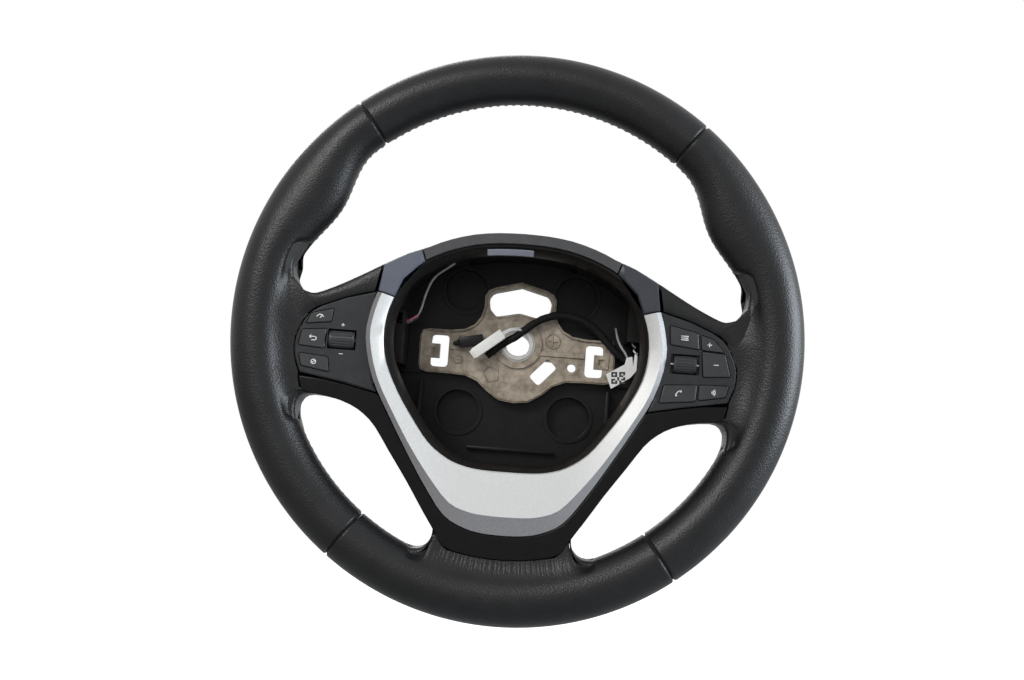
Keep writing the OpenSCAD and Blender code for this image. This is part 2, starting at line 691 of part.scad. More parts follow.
module key_mat(p, keys, at, size) {
    difference() {
        slab(grow(p, -pack_t - 0.5), mat_z() - 1.2, mat_z());
        barrel_window(at, size, face_z - 30, face_z);
    }
    for (k = keys) rod(middle(reach(k)), 2.2, mat_z() - 0.5, mat_z() + 1.3);
}
function middle(p) = [for (i = [0:1]) (p[0][i] + p[1][i] + p[2][i] + p[3][i]) / 4];

module board(p, at, size) difference() {
    slab(grow(p, -pack_t - 0.4), mat_z() - 2.8, mat_z() - 1.2);
    barrel_window(at, size, face_z - 30, face_z);
}

left_panel = [for (q = back(panel)) [-q[0], q[1]]];
left_keys = [limit_key, resume_key, cancel_key];
right_keys = [mode_key, plus_key, minus_key, phone_key, voice_key];
cradle = roller_recess + [0.9, 1.5];
roller_room = cradle + [1, 1];
rocker_room = [rocker_w + 5, 2 * roller_r + 2.8];
key_low = mat_z() + 1.4 + key_travel;

module pack_left() stand() color([0.22, 0.22, 0.24]) {
    difference() {
        pack_shell(left_panel, left_keys, rocker_at, rocker_recess);
        rocker_bore();
    }
    for (s = [-1, 1]) difference() {
        translate([rocker_at[0] + s * (rocker_w / 2 + 1.3), rocker_at[1], 0])
            block([-0.8, -2.5, barrel_z - 2.5], [0.8, 2.5, face_z - 1]);
        rocker_bore();
    }
}
module rocker_bore() {
    translate([rocker_at[0] - 30, rocker_at[1], barrel_z]) rotate([0, 90, 0]) cylinder(r = pin_d / 2, h = 60);
}
module pack_right() stand() color([0.22, 0.22, 0.24]) pack_shell(panel, right_keys, roller_at, roller_recess);
module pack_base_left() stand() color([0.16, 0.16, 0.17])
    pack_base(left_panel, [pack_screw_at[2], pack_screw_at[3]]);
module pack_base_right() stand() color([0.16, 0.16, 0.17])
    pack_base(panel, [pack_screw_at[0], pack_screw_at[1]]);
module board_left() stand() color([0.10, 0.30, 0.16]) board(left_panel, rocker_at, rocker_room);
module board_right() stand() color([0.10, 0.30, 0.16]) board(panel, roller_at, roller_room);
module key_mat_left() stand() color([0.55, 0.55, 0.56])
    key_mat(left_panel, left_keys, rocker_at, rocker_room);
module key_mat_right() stand() color([0.55, 0.55, 0.56])
    key_mat(panel, right_keys, roller_at, roller_room);

module pack_screws() stand() color([0.35, 0.35, 0.36]) for (c = pack_screw_at) {
    rod(c, screw_d / 2 - fit, pack_low() - 9, pack_low() + 2.2);
    rod(c, screw_d * 0.8, pack_low() + 2.2, mat_z() - 2.9);
}

module key_limit() stand() color([0.25, 0.25, 0.27]) key(limit_key, key_low);
module key_resume() stand() color([0.25, 0.25, 0.27]) key(resume_key, key_low);
module key_cancel() stand() color([0.25, 0.25, 0.27]) key(cancel_key, key_low);
module key_mode() stand() color([0.25, 0.25, 0.27]) key(mode_key, key_low);
module key_plus() stand() color([0.25, 0.25, 0.27]) key(plus_key, key_low);
module key_minus() stand() color([0.25, 0.25, 0.27]) key(minus_key, key_low);
module key_phone() stand() color([0.25, 0.25, 0.27]) key(phone_key, key_low);
module key_voice() stand() color([0.25, 0.25, 0.27]) key(voice_key, key_low);

// A ribbed barrel along X
module barrel(width, bore) rotate([0, 90, 0]) difference() {
    translate([0, 0, -width / 2]) cylinder(r = roller_r, h = width);
    for (i = [0:barrel_ribs - 1]) rotate(i * 360 / barrel_ribs)
        translate([roller_r + 0.15, 0, 0]) cylinder(r = 0.55, h = width - 3, center = true, $fn = 16);
    cylinder(r = bore, h = width + 2, center = true);
}

module rocker() stand() color([0.23, 0.23, 0.25])
    translate([rocker_at[0], rocker_at[1], barrel_z]) barrel(rocker_w, pin_d / 2 + fit);
module rocker_pin() stand() color([0.6, 0.6, 0.62])
    translate([rocker_at[0], rocker_at[1], barrel_z]) rotate([0, 90, 0])
        cylinder(r = pin_d / 2, h = rocker_w + 4, center = true);
module roller() stand() color([0.23, 0.23, 0.25])
    translate([roller_at[0], roller_at[1], barrel_z]) barrel(roller_w, pin_d / 2 + fit);
module roller_pin() stand() color([0.6, 0.6, 0.62])
    translate([roller_at[0], roller_at[1], barrel_z]) rotate([0, 90, 0])
        cylinder(r = pin_d / 2, h = cradle[0], center = true);
module roller_cradle() stand() color([0.20, 0.20, 0.21]) difference() {
    barrel_window(roller_at, cradle, barrel_z - 3, face_z - 2.3);
    barrel_window(roller_at, [roller_w + 0.8, 2 * roller_r + 1.2], barrel_z - 4, face_z);
    translate([roller_at[0] - 30, roller_at[1], barrel_z]) rotate([0, 90, 0]) cylinder(r = pin_d / 2, h = 60);
}

// Harness

module sleeve() stand() color([0.10, 0.10, 0.10]) tube(sleeve_route, sleeve_d / 2, 10, [0, 0, 1]);
module sleeve_grommet() stand() color([0.12, 0.12, 0.12])
    translate(sleeve_exit) rotate([0, 90, 0]) difference() {
        cylinder(r = sleeve_d / 2 + 1.2, h = 5);
        translate([0, 0, -1]) cylinder(r = sleeve_d / 2 + 0.1, h = 7);
    }
module white_lead() stand() color([0.88, 0.88, 0.86]) tube(white_route, 1.4, 8, [0, 0, 1]);
module plug_white() stand() color([0.90, 0.90, 0.88])
    translate([-19.7, -2, 34]) rotate(39) {
        block([-12, -3.5, 1], [12, 3.5, 7]);
        block([-13.5, -3, 1.6], [-11, 3, 6.4]);
    }
module plug_black() stand() color([0.08, 0.08, 0.09])
    translate([-33.7, -0.8, plate_z + 2]) rotate(12.5) {
        block([-6, -3.5, 0], [10.5, 3.5, 6.5]);
        slab([[-10.5, -1], [-5.5, -2.6], [-5.5, 2.6], [-10.5, 1]], 1.5, 5);
    }
module left_wire() stand() color([0.85, 0.85, 0.84]) tube(left_route, wire_d / 2, 8, [0, 0, 1]);
module right_wire() stand() color([0.6, 0.6, 0.6]) tube(right_route, wire_d / 2, 8, [1, 0, 0]);
module wire_tag() stand() color([0.93, 0.93, 0.92]) slab(tag_outline, tag_z, tag_z + 0.4);

// Inset of the liner's slanted lip at height z
function lip_inset(z) = 5 - 4.4 * (z - lip_low) / (wall_top - lip_low);

module label_strip() stand() color([0.72, 0.72, 0.80]) {
    brow = back([for (q = well) if (q[1] > 50 * plan && q[0] > -0.1) q]);
    low = lip_low + 2.5;
    high = lip_low + 10;
    skinned([for (x = [-23:3:7]) let (y = lookup(abs(x), brow)) [
        [x, y - lip_inset(low) - 0.55, low], [x, y - lip_inset(low) - 0.25, low],
        [x, y - lip_inset(high) - 0.25, high], [x, y - lip_inset(high) - 0.55, high]
    ]]);
}

armature();
hub_insert();
rim_foam();
leather_top();
leather_left();
leather_bottom();
leather_right();
back_cover();
hub_liner();
shoulder_left();
shoulder_right();
trim();
lower_cover();
cover_screws();
pack_left();
pack_right();
pack_base_left();
pack_base_right();
board_left();
board_right();
key_mat_left();
key_mat_right();
pack_screws();
key_limit();
key_resume();
key_cancel();
rocker();
rocker_pin();
key_mode();
key_plus();
key_minus();
key_phone();
key_voice();
roller_cradle();
roller();
roller_pin();
sleeve();
sleeve_grommet();
plug_white();
plug_black();
white_lead();
left_wire();
right_wire();
wire_tag();
label_strip();
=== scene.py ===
import json
import math

import bmesh
import bpy
from mathutils import Matrix, Vector

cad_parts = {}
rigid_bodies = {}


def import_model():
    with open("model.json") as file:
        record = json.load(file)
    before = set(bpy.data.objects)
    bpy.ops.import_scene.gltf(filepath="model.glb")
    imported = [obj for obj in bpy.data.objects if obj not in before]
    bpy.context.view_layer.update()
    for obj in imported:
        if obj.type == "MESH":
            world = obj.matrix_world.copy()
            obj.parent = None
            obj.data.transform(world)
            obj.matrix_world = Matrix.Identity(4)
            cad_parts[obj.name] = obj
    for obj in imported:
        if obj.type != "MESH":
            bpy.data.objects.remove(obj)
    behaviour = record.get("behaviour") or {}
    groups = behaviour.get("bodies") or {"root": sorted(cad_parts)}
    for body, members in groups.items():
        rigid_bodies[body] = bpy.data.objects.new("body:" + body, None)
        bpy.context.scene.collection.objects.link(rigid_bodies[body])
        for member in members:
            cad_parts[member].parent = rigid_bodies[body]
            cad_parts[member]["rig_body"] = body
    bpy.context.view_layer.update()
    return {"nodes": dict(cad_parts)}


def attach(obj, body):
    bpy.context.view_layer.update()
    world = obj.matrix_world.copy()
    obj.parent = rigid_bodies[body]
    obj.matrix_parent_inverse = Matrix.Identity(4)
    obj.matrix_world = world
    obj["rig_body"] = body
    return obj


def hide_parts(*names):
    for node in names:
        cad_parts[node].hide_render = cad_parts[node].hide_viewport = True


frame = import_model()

MM = 0.001


def at(x, y, z):
    """A point given in mm as drawn lying down: x to 3 o'clock, y to 12 o'clock, z to the driver."""
    return Vector((x, -z, y)) * MM


# Camera

FOCAL_LENGTH, SENSOR_WIDTH = 50, 36


def camera():
    """A view from a metre away, nearly square on and turned a little clockwise."""
    eye = Vector((0.01663, -0.99823, -0.07824))
    aim = Vector((-0.002866, -0.084, -0.002014))
    up = Vector((-0.07498, 0, 0.99719))
    look = (aim - eye).normalized()
    right = look.cross(up).normalized()
    data = bpy.data.cameras.new("camera")
    data.lens = FOCAL_LENGTH
    data.sensor_width = SENSOR_WIDTH
    cam = bpy.data.objects.new("camera", data)
    turned = Matrix((right, right.cross(look), -look)).transposed().to_4x4()
    cam.matrix_world = Matrix.Translation(eye) @ turned
    bpy.context.scene.collection.objects.link(cam)
    bpy.context.scene.camera = cam


# Materials

COLOUR_STOPS, CLOUD_DETAIL, CLOUD_ROUGHNESS = (0.34, 0.66), 5, 0.6
RUB_SCALE, RUB_DETAIL = 0.37, 3
CELL_SMOOTHNESS, GRAIN_DETAIL = 0.35, 4


def clouded(nodes, links, where, shader, colour, other, spots):
    """Lets the base colour drift from colour to other, in spots of that many to the metre."""
    cloud = nodes.new("ShaderNodeTexNoise")
    cloud.inputs["Scale"].default_value = spots
    cloud.inputs["Detail"].default_value = CLOUD_DETAIL
    cloud.inputs["Roughness"].default_value = CLOUD_ROUGHNESS
    links.new(where, cloud.inputs["Vector"])
    ramp = nodes.new("ShaderNodeValToRGB")
    for element, position, value in zip(ramp.color_ramp.elements, COLOUR_STOPS, (colour, other)):
        element.position = position
        element.color = (*value, 1)
    links.new(cloud.outputs["Fac"], ramp.inputs["Fac"])
    links.new(ramp.outputs["Color"], shader.inputs["Base Color"])


def rubbed(nodes, links, where, shader, rough, swing, spots):
    """Lets the roughness swing either way of rough, as on handled surfaces."""
    rub = nodes.new("ShaderNodeTexNoise")
    rub.inputs["Scale"].default_value = spots * RUB_SCALE
    rub.inputs["Detail"].default_value = RUB_DETAIL
    links.new(where, rub.inputs["Vector"])
    span = nodes.new("ShaderNodeMapRange")
    span.inputs["To Min"].default_value = rough - swing
    span.inputs["To Max"].default_value = rough + swing
    links.new(rub.outputs["Fac"], span.inputs["Value"])
    links.new(span.outputs["Result"], shader.inputs["Roughness"])


def grained(nodes, links, where, shader, grain):
    """Lays the bumps of grain over each other, each one (kind, scale, strength, depth)."""
    last = None
    for kind, scale, strength, depth in grain:
        if kind == "cells":
            pattern = nodes.new("ShaderNodeTexVoronoi")
            pattern.feature = "SMOOTH_F1"
            pattern.inputs["Smoothness"].default_value = CELL_SMOOTHNESS
            height = pattern.outputs["Distance"]
        else:
            pattern = nodes.new("ShaderNodeTexNoise")
            pattern.inputs["Detail"].default_value = GRAIN_DETAIL
            height = pattern.outputs["Fac"]
        pattern.inputs["Scale"].default_value = scale
        links.new(where, pattern.inputs["Vector"])
        bump = nodes.new("ShaderNodeBump")
        bump.inputs["Strength"].default_value = strength
        bump.inputs["Distance"].default_value = depth
        links.new(height, bump.inputs["Height"])
        if last:
            links.new(last.outputs["Normal"], bump.inputs["Normal"])
        last = bump
    if last:
        links.new(last.outputs["Normal"], shader.inputs["Normal"])


def finish(name, colour, rough, metal=0.0, other=None, spots=300.0, grain=(), rough_swing=0.0, specular=0.5):
    """A finish whose colour drifts from colour to other, with the bumps that grain lists."""
    material = bpy.data.materials.new(name)
    material.use_nodes = True
    nodes, links = material.node_tree.nodes, material.node_tree.links
    shader = nodes["Principled BSDF"]
    shader.inputs["Base Color"].default_value = (*colour, 1)
    shader.inputs["Roughness"].default_value = rough
    shader.inputs["Metallic"].default_value = metal
    shader.inputs["Specular IOR Level"].default_value = specular
    where = nodes.new("ShaderNodeTexCoord").outputs["Object"]
    if other:
        clouded(nodes, links, where, shader, colour, other, spots)
    if rough_swing:
        rubbed(nodes, links, where, shader, rough, rough_swing, spots)
    grained(nodes, links, where, shader, grain)
    return material


def leather_finish():
    return finish("grained_leather", (0.0045, 0.0045, 0.0048), 0.39, other=(0.0075, 0.0075, 0.0081), spots=60,
                  rough_swing=0.05, specular=0.27,
                  grain=(("noise", 160, 0.25, 0.0004), ("cells", 900, 0.5, 0.00028),
                         ("noise", 2600, 0.3, 0.00012)))


def cast_finish():
    return finish("cast_magnesium", (0.20, 0.165, 0.125), 0.46, metal=0.3, other=(0.40, 0.345, 0.275),
                  spots=170, rough_swing=0.1,
                  grain=(("noise", 500, 0.4, 0.0004), ("noise", 2200, 0.35, 0.00012)))


def satin_finish(name, colour, other, rough):
    return finish(name, colour, rough, metal=0.2, other=other, spots=900, specular=0.4,
                  grain=(("noise", 5200, 0.12, 0.00004),))


def moulded_finish(name, colour, other, rough=0.5, depth=0.00008, specular=0.22):
    return finish(name, colour, rough, other=other, spots=120, rough_swing=0.05, specular=specular,
                  grain=(("cells", 2400, 0.35, depth),))


FINISHES = {
    "leather": leather_finish(),
    "foam": finish("rim_foam", (0.012, 0.012, 0.012), 0.8, other=(0.02, 0.02, 0.02), spots=700,
                   grain=(("noise", 900, 0.4, 0.0002),)),
    "cast": cast_finish(),
    "steel": finish("machined_steel", (0.42, 0.41, 0.40), 0.32, metal=0.9, other=(0.5, 0.49, 0.47), spots=500,
                    grain=(("noise", 2500, 0.15, 0.00006),)),
    "cover": moulded_finish("rear_cover_plastic", (0.046, 0.0455, 0.047), (0.056, 0.0555, 0.057), 0.44),
    "liner": moulded_finish("well_plastic", (0.0052, 0.0048, 0.0047), (0.0085, 0.0078, 0.0076), 0.36,
                            specular=0.16),
    "shoulder": moulded_finish("shoulder_plastic", (0.026, 0.028, 0.034), (0.032, 0.034, 0.041), 0.38,
                               specular=0.3),
    "trim": satin_finish("satin_silver", (0.50, 0.50, 0.495), (0.56, 0.56, 0.55), 0.34),
    # Painted shade: a darker copy of the satin silver, laid on the outer band where shade falls.
    "trim_painted_shade": satin_finish("satin_silver_painted_shade", (0.185, 0.182, 0.19), (0.225, 0.222, 0.23), 0.36),
    # Painted light: a lighter copy of the shoulder plastic for the left shoulder, where the light falls on
    # it.
    "shoulder_painted_light": moulded_finish("left_shoulder_painted_light", (0.078, 0.086, 0.110), (0.090, 0.098, 0.124),
                                   0.38, specular=0.3),
    "lower": moulded_finish("lower_cover_plastic", (0.0034, 0.0033, 0.0033), (0.0050, 0.0048, 0.0048), 0.30,
                            0.00004, 0.12),
    "screw": finish("blackened_screws", (0.05, 0.05, 0.052), 0.4, metal=0.8, other=(0.08, 0.08, 0.08),
                    spots=600, grain=(("noise", 3000, 0.2, 0.00005),)),
    "panel": moulded_finish("switch_panel_plastic", (0.016, 0.0165, 0.018), (0.022, 0.0225, 0.024), 0.42),
    "key": moulded_finish("key_plastic", (0.021, 0.0215, 0.023), (0.027, 0.0275, 0.029), 0.34, 0.00005, 0.35),
    "board": finish("circuit_board", (0.01, 0.07, 0.03), 0.4, other=(0.014, 0.09, 0.04), spots=400,
                    grain=(("noise", 900, 0.2, 0.00008),)),
    "mat": finish("silicone_mat", (0.26, 0.26, 0.27), 0.6, other=(0.30, 0.30, 0.31), spots=300,
                  grain=(("noise", 1500, 0.15, 0.00005),)),
    "inner": moulded_finish("inner_plastic", (0.020, 0.020, 0.021), (0.027, 0.027, 0.028)),
    "pin": finish("ground_pins", (0.5, 0.5, 0.51), 0.25, metal=0.95, other=(0.56, 0.56, 0.57), spots=700,
                  grain=(("noise", 4000, 0.1, 0.00003),)),
    "tape": finish("cloth_tape", (0.006, 0.006, 0.006), 0.7, other=(0.012, 0.012, 0.012), spots=500,
                   specular=0.15, grain=(("cells", 2600, 0.6, 0.0001),)),
    "grommet": finish("grommet_rubber", (0.012, 0.012, 0.012), 0.6, other=(0.018, 0.018, 0.018), spots=500,
                      grain=(("noise", 1800, 0.2, 0.00006),)),
    "plug_white": finish("white_nylon", (0.74, 0.74, 0.71), 0.42, other=(0.80, 0.80, 0.77), spots=250,
                         grain=(("noise", 1500, 0.1, 0.00004),)),
    "plug_black": finish("black_nylon", (0.006, 0.006, 0.007), 0.36, other=(0.010, 0.010, 0.011), spots=250,
                         specular=0.2, grain=(("noise", 1500, 0.12, 0.00004),)),
    "wire_white": finish("white_insulation", (0.66, 0.66, 0.65), 0.42, other=(0.74, 0.74, 0.73), spots=200,
                         grain=(("noise", 2500, 0.1, 0.00003),)),
    "wire_grey": finish("grey_insulation", (0.26, 0.26, 0.27), 0.45, other=(0.33, 0.33, 0.34), spots=300,
                        grain=(("noise", 2500, 0.1, 0.00003),)),
    "wire_pink": finish("pink_insulation", (0.55, 0.10, 0.16), 0.45, other=(0.62, 0.16, 0.22), spots=300,
                        grain=(("noise", 2500, 0.1, 0.00003),)),
    "paper": finish("tag_film", (0.80, 0.80, 0.80), 0.55, other=(0.84, 0.84, 0.84), spots=200,
                    grain=(("noise", 900, 0.12, 0.00006),)),
    "label": finish("blank_film", (0.34, 0.35, 0.42), 0.45, other=(0.40, 0.41, 0.48), spots=250,
                    grain=(("noise", 900, 0.12, 0.00005),)),
    "legend": finish("legend_print", (0.56, 0.57, 0.58), 0.5, other=(0.62, 0.63, 0.64), spots=900,
                     grain=(("noise", 3000, 0.1, 0.00002),)),
    "ink": finish("tag_print", (0.02, 0.02, 0.02), 0.6, other=(0.04, 0.04, 0.04), spots=900,
                  grain=(("noise", 3000, 0.1, 0.00002),)),
    "thread": finish("sewing_thread", (0.012, 0.012, 0.013), 0.6, other=(0.022, 0.022, 0.024), spots=900,
                     specular=0.2, grain=(("noise", 5000, 0.4, 0.00008),)),
}


# How a piece is made

def piece(name, bm, body, slot, look=None, stands_for=(), corner=35):
    """A piece made of a mesh, shaded sharp at edges over corner degrees and flat on broad faces."""
    for f in bm.faces:
        f.smooth = len(f.verts) < 5
    for e in bm.edges:
        e.smooth = len(e.link_faces) == 2 and e.calc_face_angle(0) < math.radians(corner)
    mesh = bpy.data.meshes.new(name)
    bm.to_mesh(mesh)
    bm.free()
    mesh.materials.append(FINISHES[look or slot])
    obj = bpy.data.objects.new(name, mesh)
    bpy.context.scene.collection.objects.link(obj)
    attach(obj, body)
    if stands_for:
        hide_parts(*stands_for)
    return obj


MERGE_DISTANCE, FLAT_ANGLE = 2e-6, 0.4
FRONT_DEPTH, FRONT_SEGMENTS = 0.0001, 4


def clean_copy(node, joined=True):
    """A merged copy of the node's mesh, with its flat faces in one piece each where joined is true."""
    bm = bmesh.new()
    bm.from_mesh(frame["nodes"][node].data)
    bmesh.ops.remove_doubles(bm, verts=bm.verts, dist=MERGE_DISTANCE)
    if not joined:
        return bm
    bmesh.ops.dissolve_limit(bm, angle_limit=math.radians(FLAT_ANGLE), use_dissolve_boundaries=False,
                             verts=bm.verts, edges=bm.edges, delimit=set())
    return bm


def sharp_edges(bm, corner):
    """The edges of a mesh that turn by more than corner degrees."""
    return [e for e in bm.edges if len(e.link_faces) == 2 and e.calc_face_angle(0) > math.radians(corner)]


def softened(bm, edges, width, segments):
    """Rounds edges by width, in mm."""
    if edges:
        bmesh.ops.bevel(bm, geom=edges, offset=width * MM, offset_type="OFFSET", segments=segments,
                        profile=0.5, affect="EDGES", clamp_overlap=True, material=-1)


def dressed(node, slot, width, segments=2, corner=38, front=0.0, look=None, joined=True, moved=None):
    """The node's own shape with its sharp edges rounded by width, in mm, and those of its front by front."""
    bm = clean_copy(node, joined)
    if moved:
        moved(bm)
    sharp = sharp_edges(bm, corner)
    if front:
        face = min(v.co.y for v in bm.verts) + FRONT_DEPTH
        rim_of = [e for e in sharp if all(v.co.y < face for v in e.verts)]
        softened(bm, rim_of, front, FRONT_SEGMENTS)
    elif width:
        softened(bm, sharp, width, segments)
    return piece(node + "_dressed", bm, frame["nodes"][node]["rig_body"], slot, look, stands_for=(node,))


def smooth_line(points, steps):
    """A smooth line through points, as the source draws its outlines."""
    p = [Vector(q) for q in points]
    line = []
    for i in range(len(p) - 1):
        a, b, c, d = p[max(i - 1, 0)], p[i], p[i + 1], p[min(i + 2, len(p) - 1)]
        for j in range(steps):
            t = j / steps
            line.append(0.5 * (2 * b + (c - a) * t + (2 * a - 5 * b + 4 * c - d) * t * t
                               + (3 * b - a - 3 * c + d) * t ** 3))
    return line + [p[-1]]


def tube(line, radius, sides=12):
    """A closed round tube along line. radius is in m, or a function of the run and the angle round it."""
    bm = bmesh.new()
    rings, side, run = [], None, 0.0
    for i, p in enumerate(line):
        along = (line[min(i + 1, len(line) - 1)] - line[max(i - 1, 0)]).normalized()
        run += (p - line[i - 1]).length if i else 0
        side = along.orthogonal() if side is None else side - along * side.dot(along)
        side.normalize()
        other = along.cross(side)
        capped = i in (0, len(line) - 1)
        ring = bmesh.ops.create_circle(bm, cap_ends=capped, radius=1, segments=sides)["verts"]
        for k, v in enumerate(ring):
            a = 2 * math.pi * k / sides
            r = radius(run, a) if callable(radius) else radius
            v.co = p + r * (math.cos(a) * side + math.sin(a) * other)
        rings.append(list({e for v in ring for e in v.link_edges}))
    for a, b in zip(rings, rings[1:]):
        bmesh.ops.bridge_loops(bm, edges=a + b)
    bmesh.ops.recalc_face_normals(bm, faces=bm.faces)
    return bm


def strand(name, line, radius, body, slot, look=None, stands_for=(), sides=12):
    """A wire or a taped bundle as a piece."""
    return piece(name, tube(line, radius, sides), body, slot, look, stands_for, corner=50)


# Harness

SLEEVE_ROUTE = [
    (-20.5, -9.7, 31.5), (-11.5, -1.8, 32), (-1.5, 4.8, 32.5), (7, 12, 33), (15, 17.5, 33), (25, 21, 33),
    (36, 20.8, 33), (46, 17.6, 32.5), (54, 12, 32), (61, 5, 32), (67, -1, 32), (73, -5, 32), (78, -6.4, 32),
    (82, -6.5, 32), (86, -6.5, 32),
]
LEFT_ROUTE = [
    (-45.6, 50, 49), (-50.6, 46.3, 48), (-57, 41.8, 45), (-61, 37, 43), (-64.5, 28, 41), (-67, 18, 40),
    (-70, 12, 40), (-75, 8.4, 40), (-79, 7.5, 40), (-83.6, 7.4, 40),
]
RIGHT_ROUTE = [
    (66.5, 16, 17), (66.5, 16, 23), (66.4, 14.6, 30), (66.7, 11.4, 35.6), (67.8, 6.5, 40), (70.2, 1.6, 43),
    (73, -2.4, 44.8), (75.2, -7, 45.4),
]
LEAD_ROUTE = [(-10.5, 5.4, 38), (-6, 8.4, 37.5), (-2, 9.4, 36), (1.5, 9.6, 34.2)]
SLEEVE_R, WIRE_R, LEAD_R, FINE_LEAD_R = 2.7 * MM, 0.8 * MM, 0.7 * MM, 0.55 * MM
TAPE_STEP, TAPE_T = 9 * MM, 0.28 * MM
LEAD_PLACES = ((-0.8, 0.0), (0.75, 0.35), (0.1, -0.7))
LEAD_SPREAD = 0.6


def wrapped_tape(run, angle):
    """Radius of the taped sleeve: each turn of tape laps over the one before it."""
    turn = (run / TAPE_STEP + angle / (2 * math.pi)) % 1
    return SLEEVE_R - TAPE_T * turn


def harness():
    """The taped sleeve with its plugs and leads, and the two thin wires of the well."""
    body = "wheel"
    line = smooth_line([at(*p) for p in SLEEVE_ROUTE], 9)
    sleeve = strand("taped_sleeve", line, wrapped_tape, body, "tape", stands_for=("sleeve",), sides=16)
    white = dressed("plug_white", "plug_white", 0.5)
    black = dressed("plug_black", "plug_black", 0.5)
    line = smooth_line([at(*p) for p in LEFT_ROUTE], 8)
    wire = strand("left_wire_sheath", line, WIRE_R, body, "wire_white", "wire_grey",
                  stands_for=("left_wire",))
    line = smooth_line([at(*p) for p in RIGHT_ROUTE], 8)
    wire = strand("right_wire_sheath", line, WIRE_R, body, "wire_grey", stands_for=("right_wire",))
    for i, (aside, up) in enumerate(LEAD_PLACES):
        shift = Vector((aside * LEAD_SPREAD, -up, aside * -LEAD_SPREAD)) * MM
        line = [q + shift for q in smooth_line([at(*p) for p in LEAD_ROUTE], 6)]
        strand(f"white_lead_{i + 1}", line, LEAD_R, body, "wire_white", stands_for=("white_lead",), sides=10)


# Rim leather

WHEEL_R, GRIP_W, GRIP_LOW_W, THUMB_W, DISH = 185.0, 32.0, 35.5, 44.0, 84.0
DEPTH_HALF, THUMB_ANGLE, THUMB_SPAN = 17.5, 31.0, 18.0
SEAM_HIGH, SEAM_LOW, LEATHER_T = 52.0, 53.0, 1.2
SEAM_ANGLES = (SEAM_HIGH, 180 - SEAM_HIGH, 180 + SEAM_LOW, 360 - SEAM_LOW)
REAR_EDGE, FACE_Z = (148.9, 66.8), 92.0
FLARE_DIR, SEAM_DIR, FLARE_STEPS, ROUND_STEPS = 128.0, 190.0, 9, 44
SEAM_GAP, SEAM_ROLL, SEAM_R = 0.09, 1.3, 170


def ease(x):
    """A soft step from 0 to 1."""
    c = min(max(x, 0), 1)
    return c * c * (3 - 2 * c)


def half_width(t):
    """Half the grip's width at angle t: wider at the thumb rests and in the lower half."""
    d = min(abs(t - THUMB_ANGLE), abs(t - 180 + THUMB_ANGLE))
    thumb = 0.5 + 0.5 * math.cos(math.pi * d / THUMB_SPAN) if d < THUMB_SPAN else 0
    base = GRIP_LOW_W + (GRIP_W - GRIP_LOW_W) * ease((math.sin(math.radians(t)) - 0.3) / 0.45)
    return (base + (THUMB_W - base) * thumb) / 2


def grip(t, s, depth=0.0):
    """Radius and height of the grip's surface at angle t round the wheel and direction s round the grip."""
    s = math.radians(s)
    return Vector((WHEEL_R - half_width(t) + (half_width(t) - depth) * math.cos(s),
                   DISH + (DEPTH_HALF - depth) * math.sin(s)))


REAR_SPANS = ((-25.5, 17.5, 4), (162.5, 205.5, 4), (247.5, 292.5, 4))
FRONT_SPANS = ((-25.5, 21, 3.5), (159, 205.5, 3.5), (246, 294, 3.5))


def opening(t, side):
    """How far the leather's rear (side -1) or front (side 1) opens for a spoke at angle t, from 0 to 1."""
    t = t + 360 if t < -90 else t
    spans = FRONT_SPANS if side > 0 else REAR_SPANS
    return sum(ease((t - a) / run) * ease((b - t) / run) for a, b, run in spans)


# The leather's front edge: radius and height by the angle above 3 o'clock, and by the angle from 6 o'clock.
SIDE_EDGE = [
    (-27.5, 153), (-24, 152.6), (-21.3, 151), (-19.5, 149), (-18.6, 147), (-18, 143), (-14.4, 142.4),
    (-13.5, 141.7), (-9.7, 143.2), (-6.85, 143.2), (-4.06, 142.1), (0, 138.0), (2.2, 134.6), (5, 138),
    (7, 142), (8.6, 146.0), (10.7, 150.5), (13.4, 153.5), (16.5, 154.8), (21, 155.5),
]
SIDE_HEIGHT = [
    (-27.5, 89), (-22, 90.8), (-18.6, 91), (-18, 92.0), (1, 92.0), (4, 90.9), (13, 90.9), (17, 90.6),
    (21, 89.5),
]
LOW_EDGE = [
    (0, 142.8), (14, 142.7), (15.4, 141.2), (16.5, 139.2), (17.3, 137.2), (17.9, 135.6), (18.2, 134.8),
    (18.4, 139), (18.6, 145), (19.1, 149), (20.4, 151), (24, 152.5),
]
LOW_HEIGHT = [(0, 91.7), (18.2, 91.6), (18.6, 90.9), (20.4, 90.8), (24, 89.5)]


def between(table, x):
    """The value at x of a table of (place, value), on straight lines."""
    x = min(max(x, table[0][0]), table[-1][0])
    for (a, p), (b, q) in zip(table, table[1:]):
        if x <= b:
            return p + (q - p) * (x - a) / (b - a)


def front_edge(t):
    """Radius and height of the leather's front edge at angle t, where a spoke opens it."""
    if 240 < t % 360 < 300:
        aside = abs(t % 360 - 270)
        return Vector((between(LOW_EDGE, aside), between(LOW_HEIGHT, aside)))
    side = (t + 180) % 360 - 180
    side = 180 - side if side > 90 else -180 - side if side < -90 else side
    return Vector((between(SIDE_EDGE, side), between(SIDE_HEIGHT, side)))


PUCKER_SPAN, PUCKER_FADE, PUCKER_HEIGHT, PUCKER_SUNK = 17, 4, 0.26, 0.12


def puckers(t):
    """Irregular gathers of the leather at 6 o'clock, as heights from 0 to 1."""
    aside = t % 360 - 270
    if abs(aside) > PUCKER_SPAN:
        return 0.0
    wave = (math.sin(aside * 5.3 + 1.1 * math.sin(aside * 1.3)) + 0.7 * math.sin(aside * 8.9 + 2.0)
            + 0.5 * math.sin(aside * 13.7 + 1.6 * math.sin(aside * 2.1)))
    return ease((PUCKER_SPAN - abs(aside)) / PUCKER_FADE) * (0.5 + 0.5 * math.tanh(1.1 * wave))


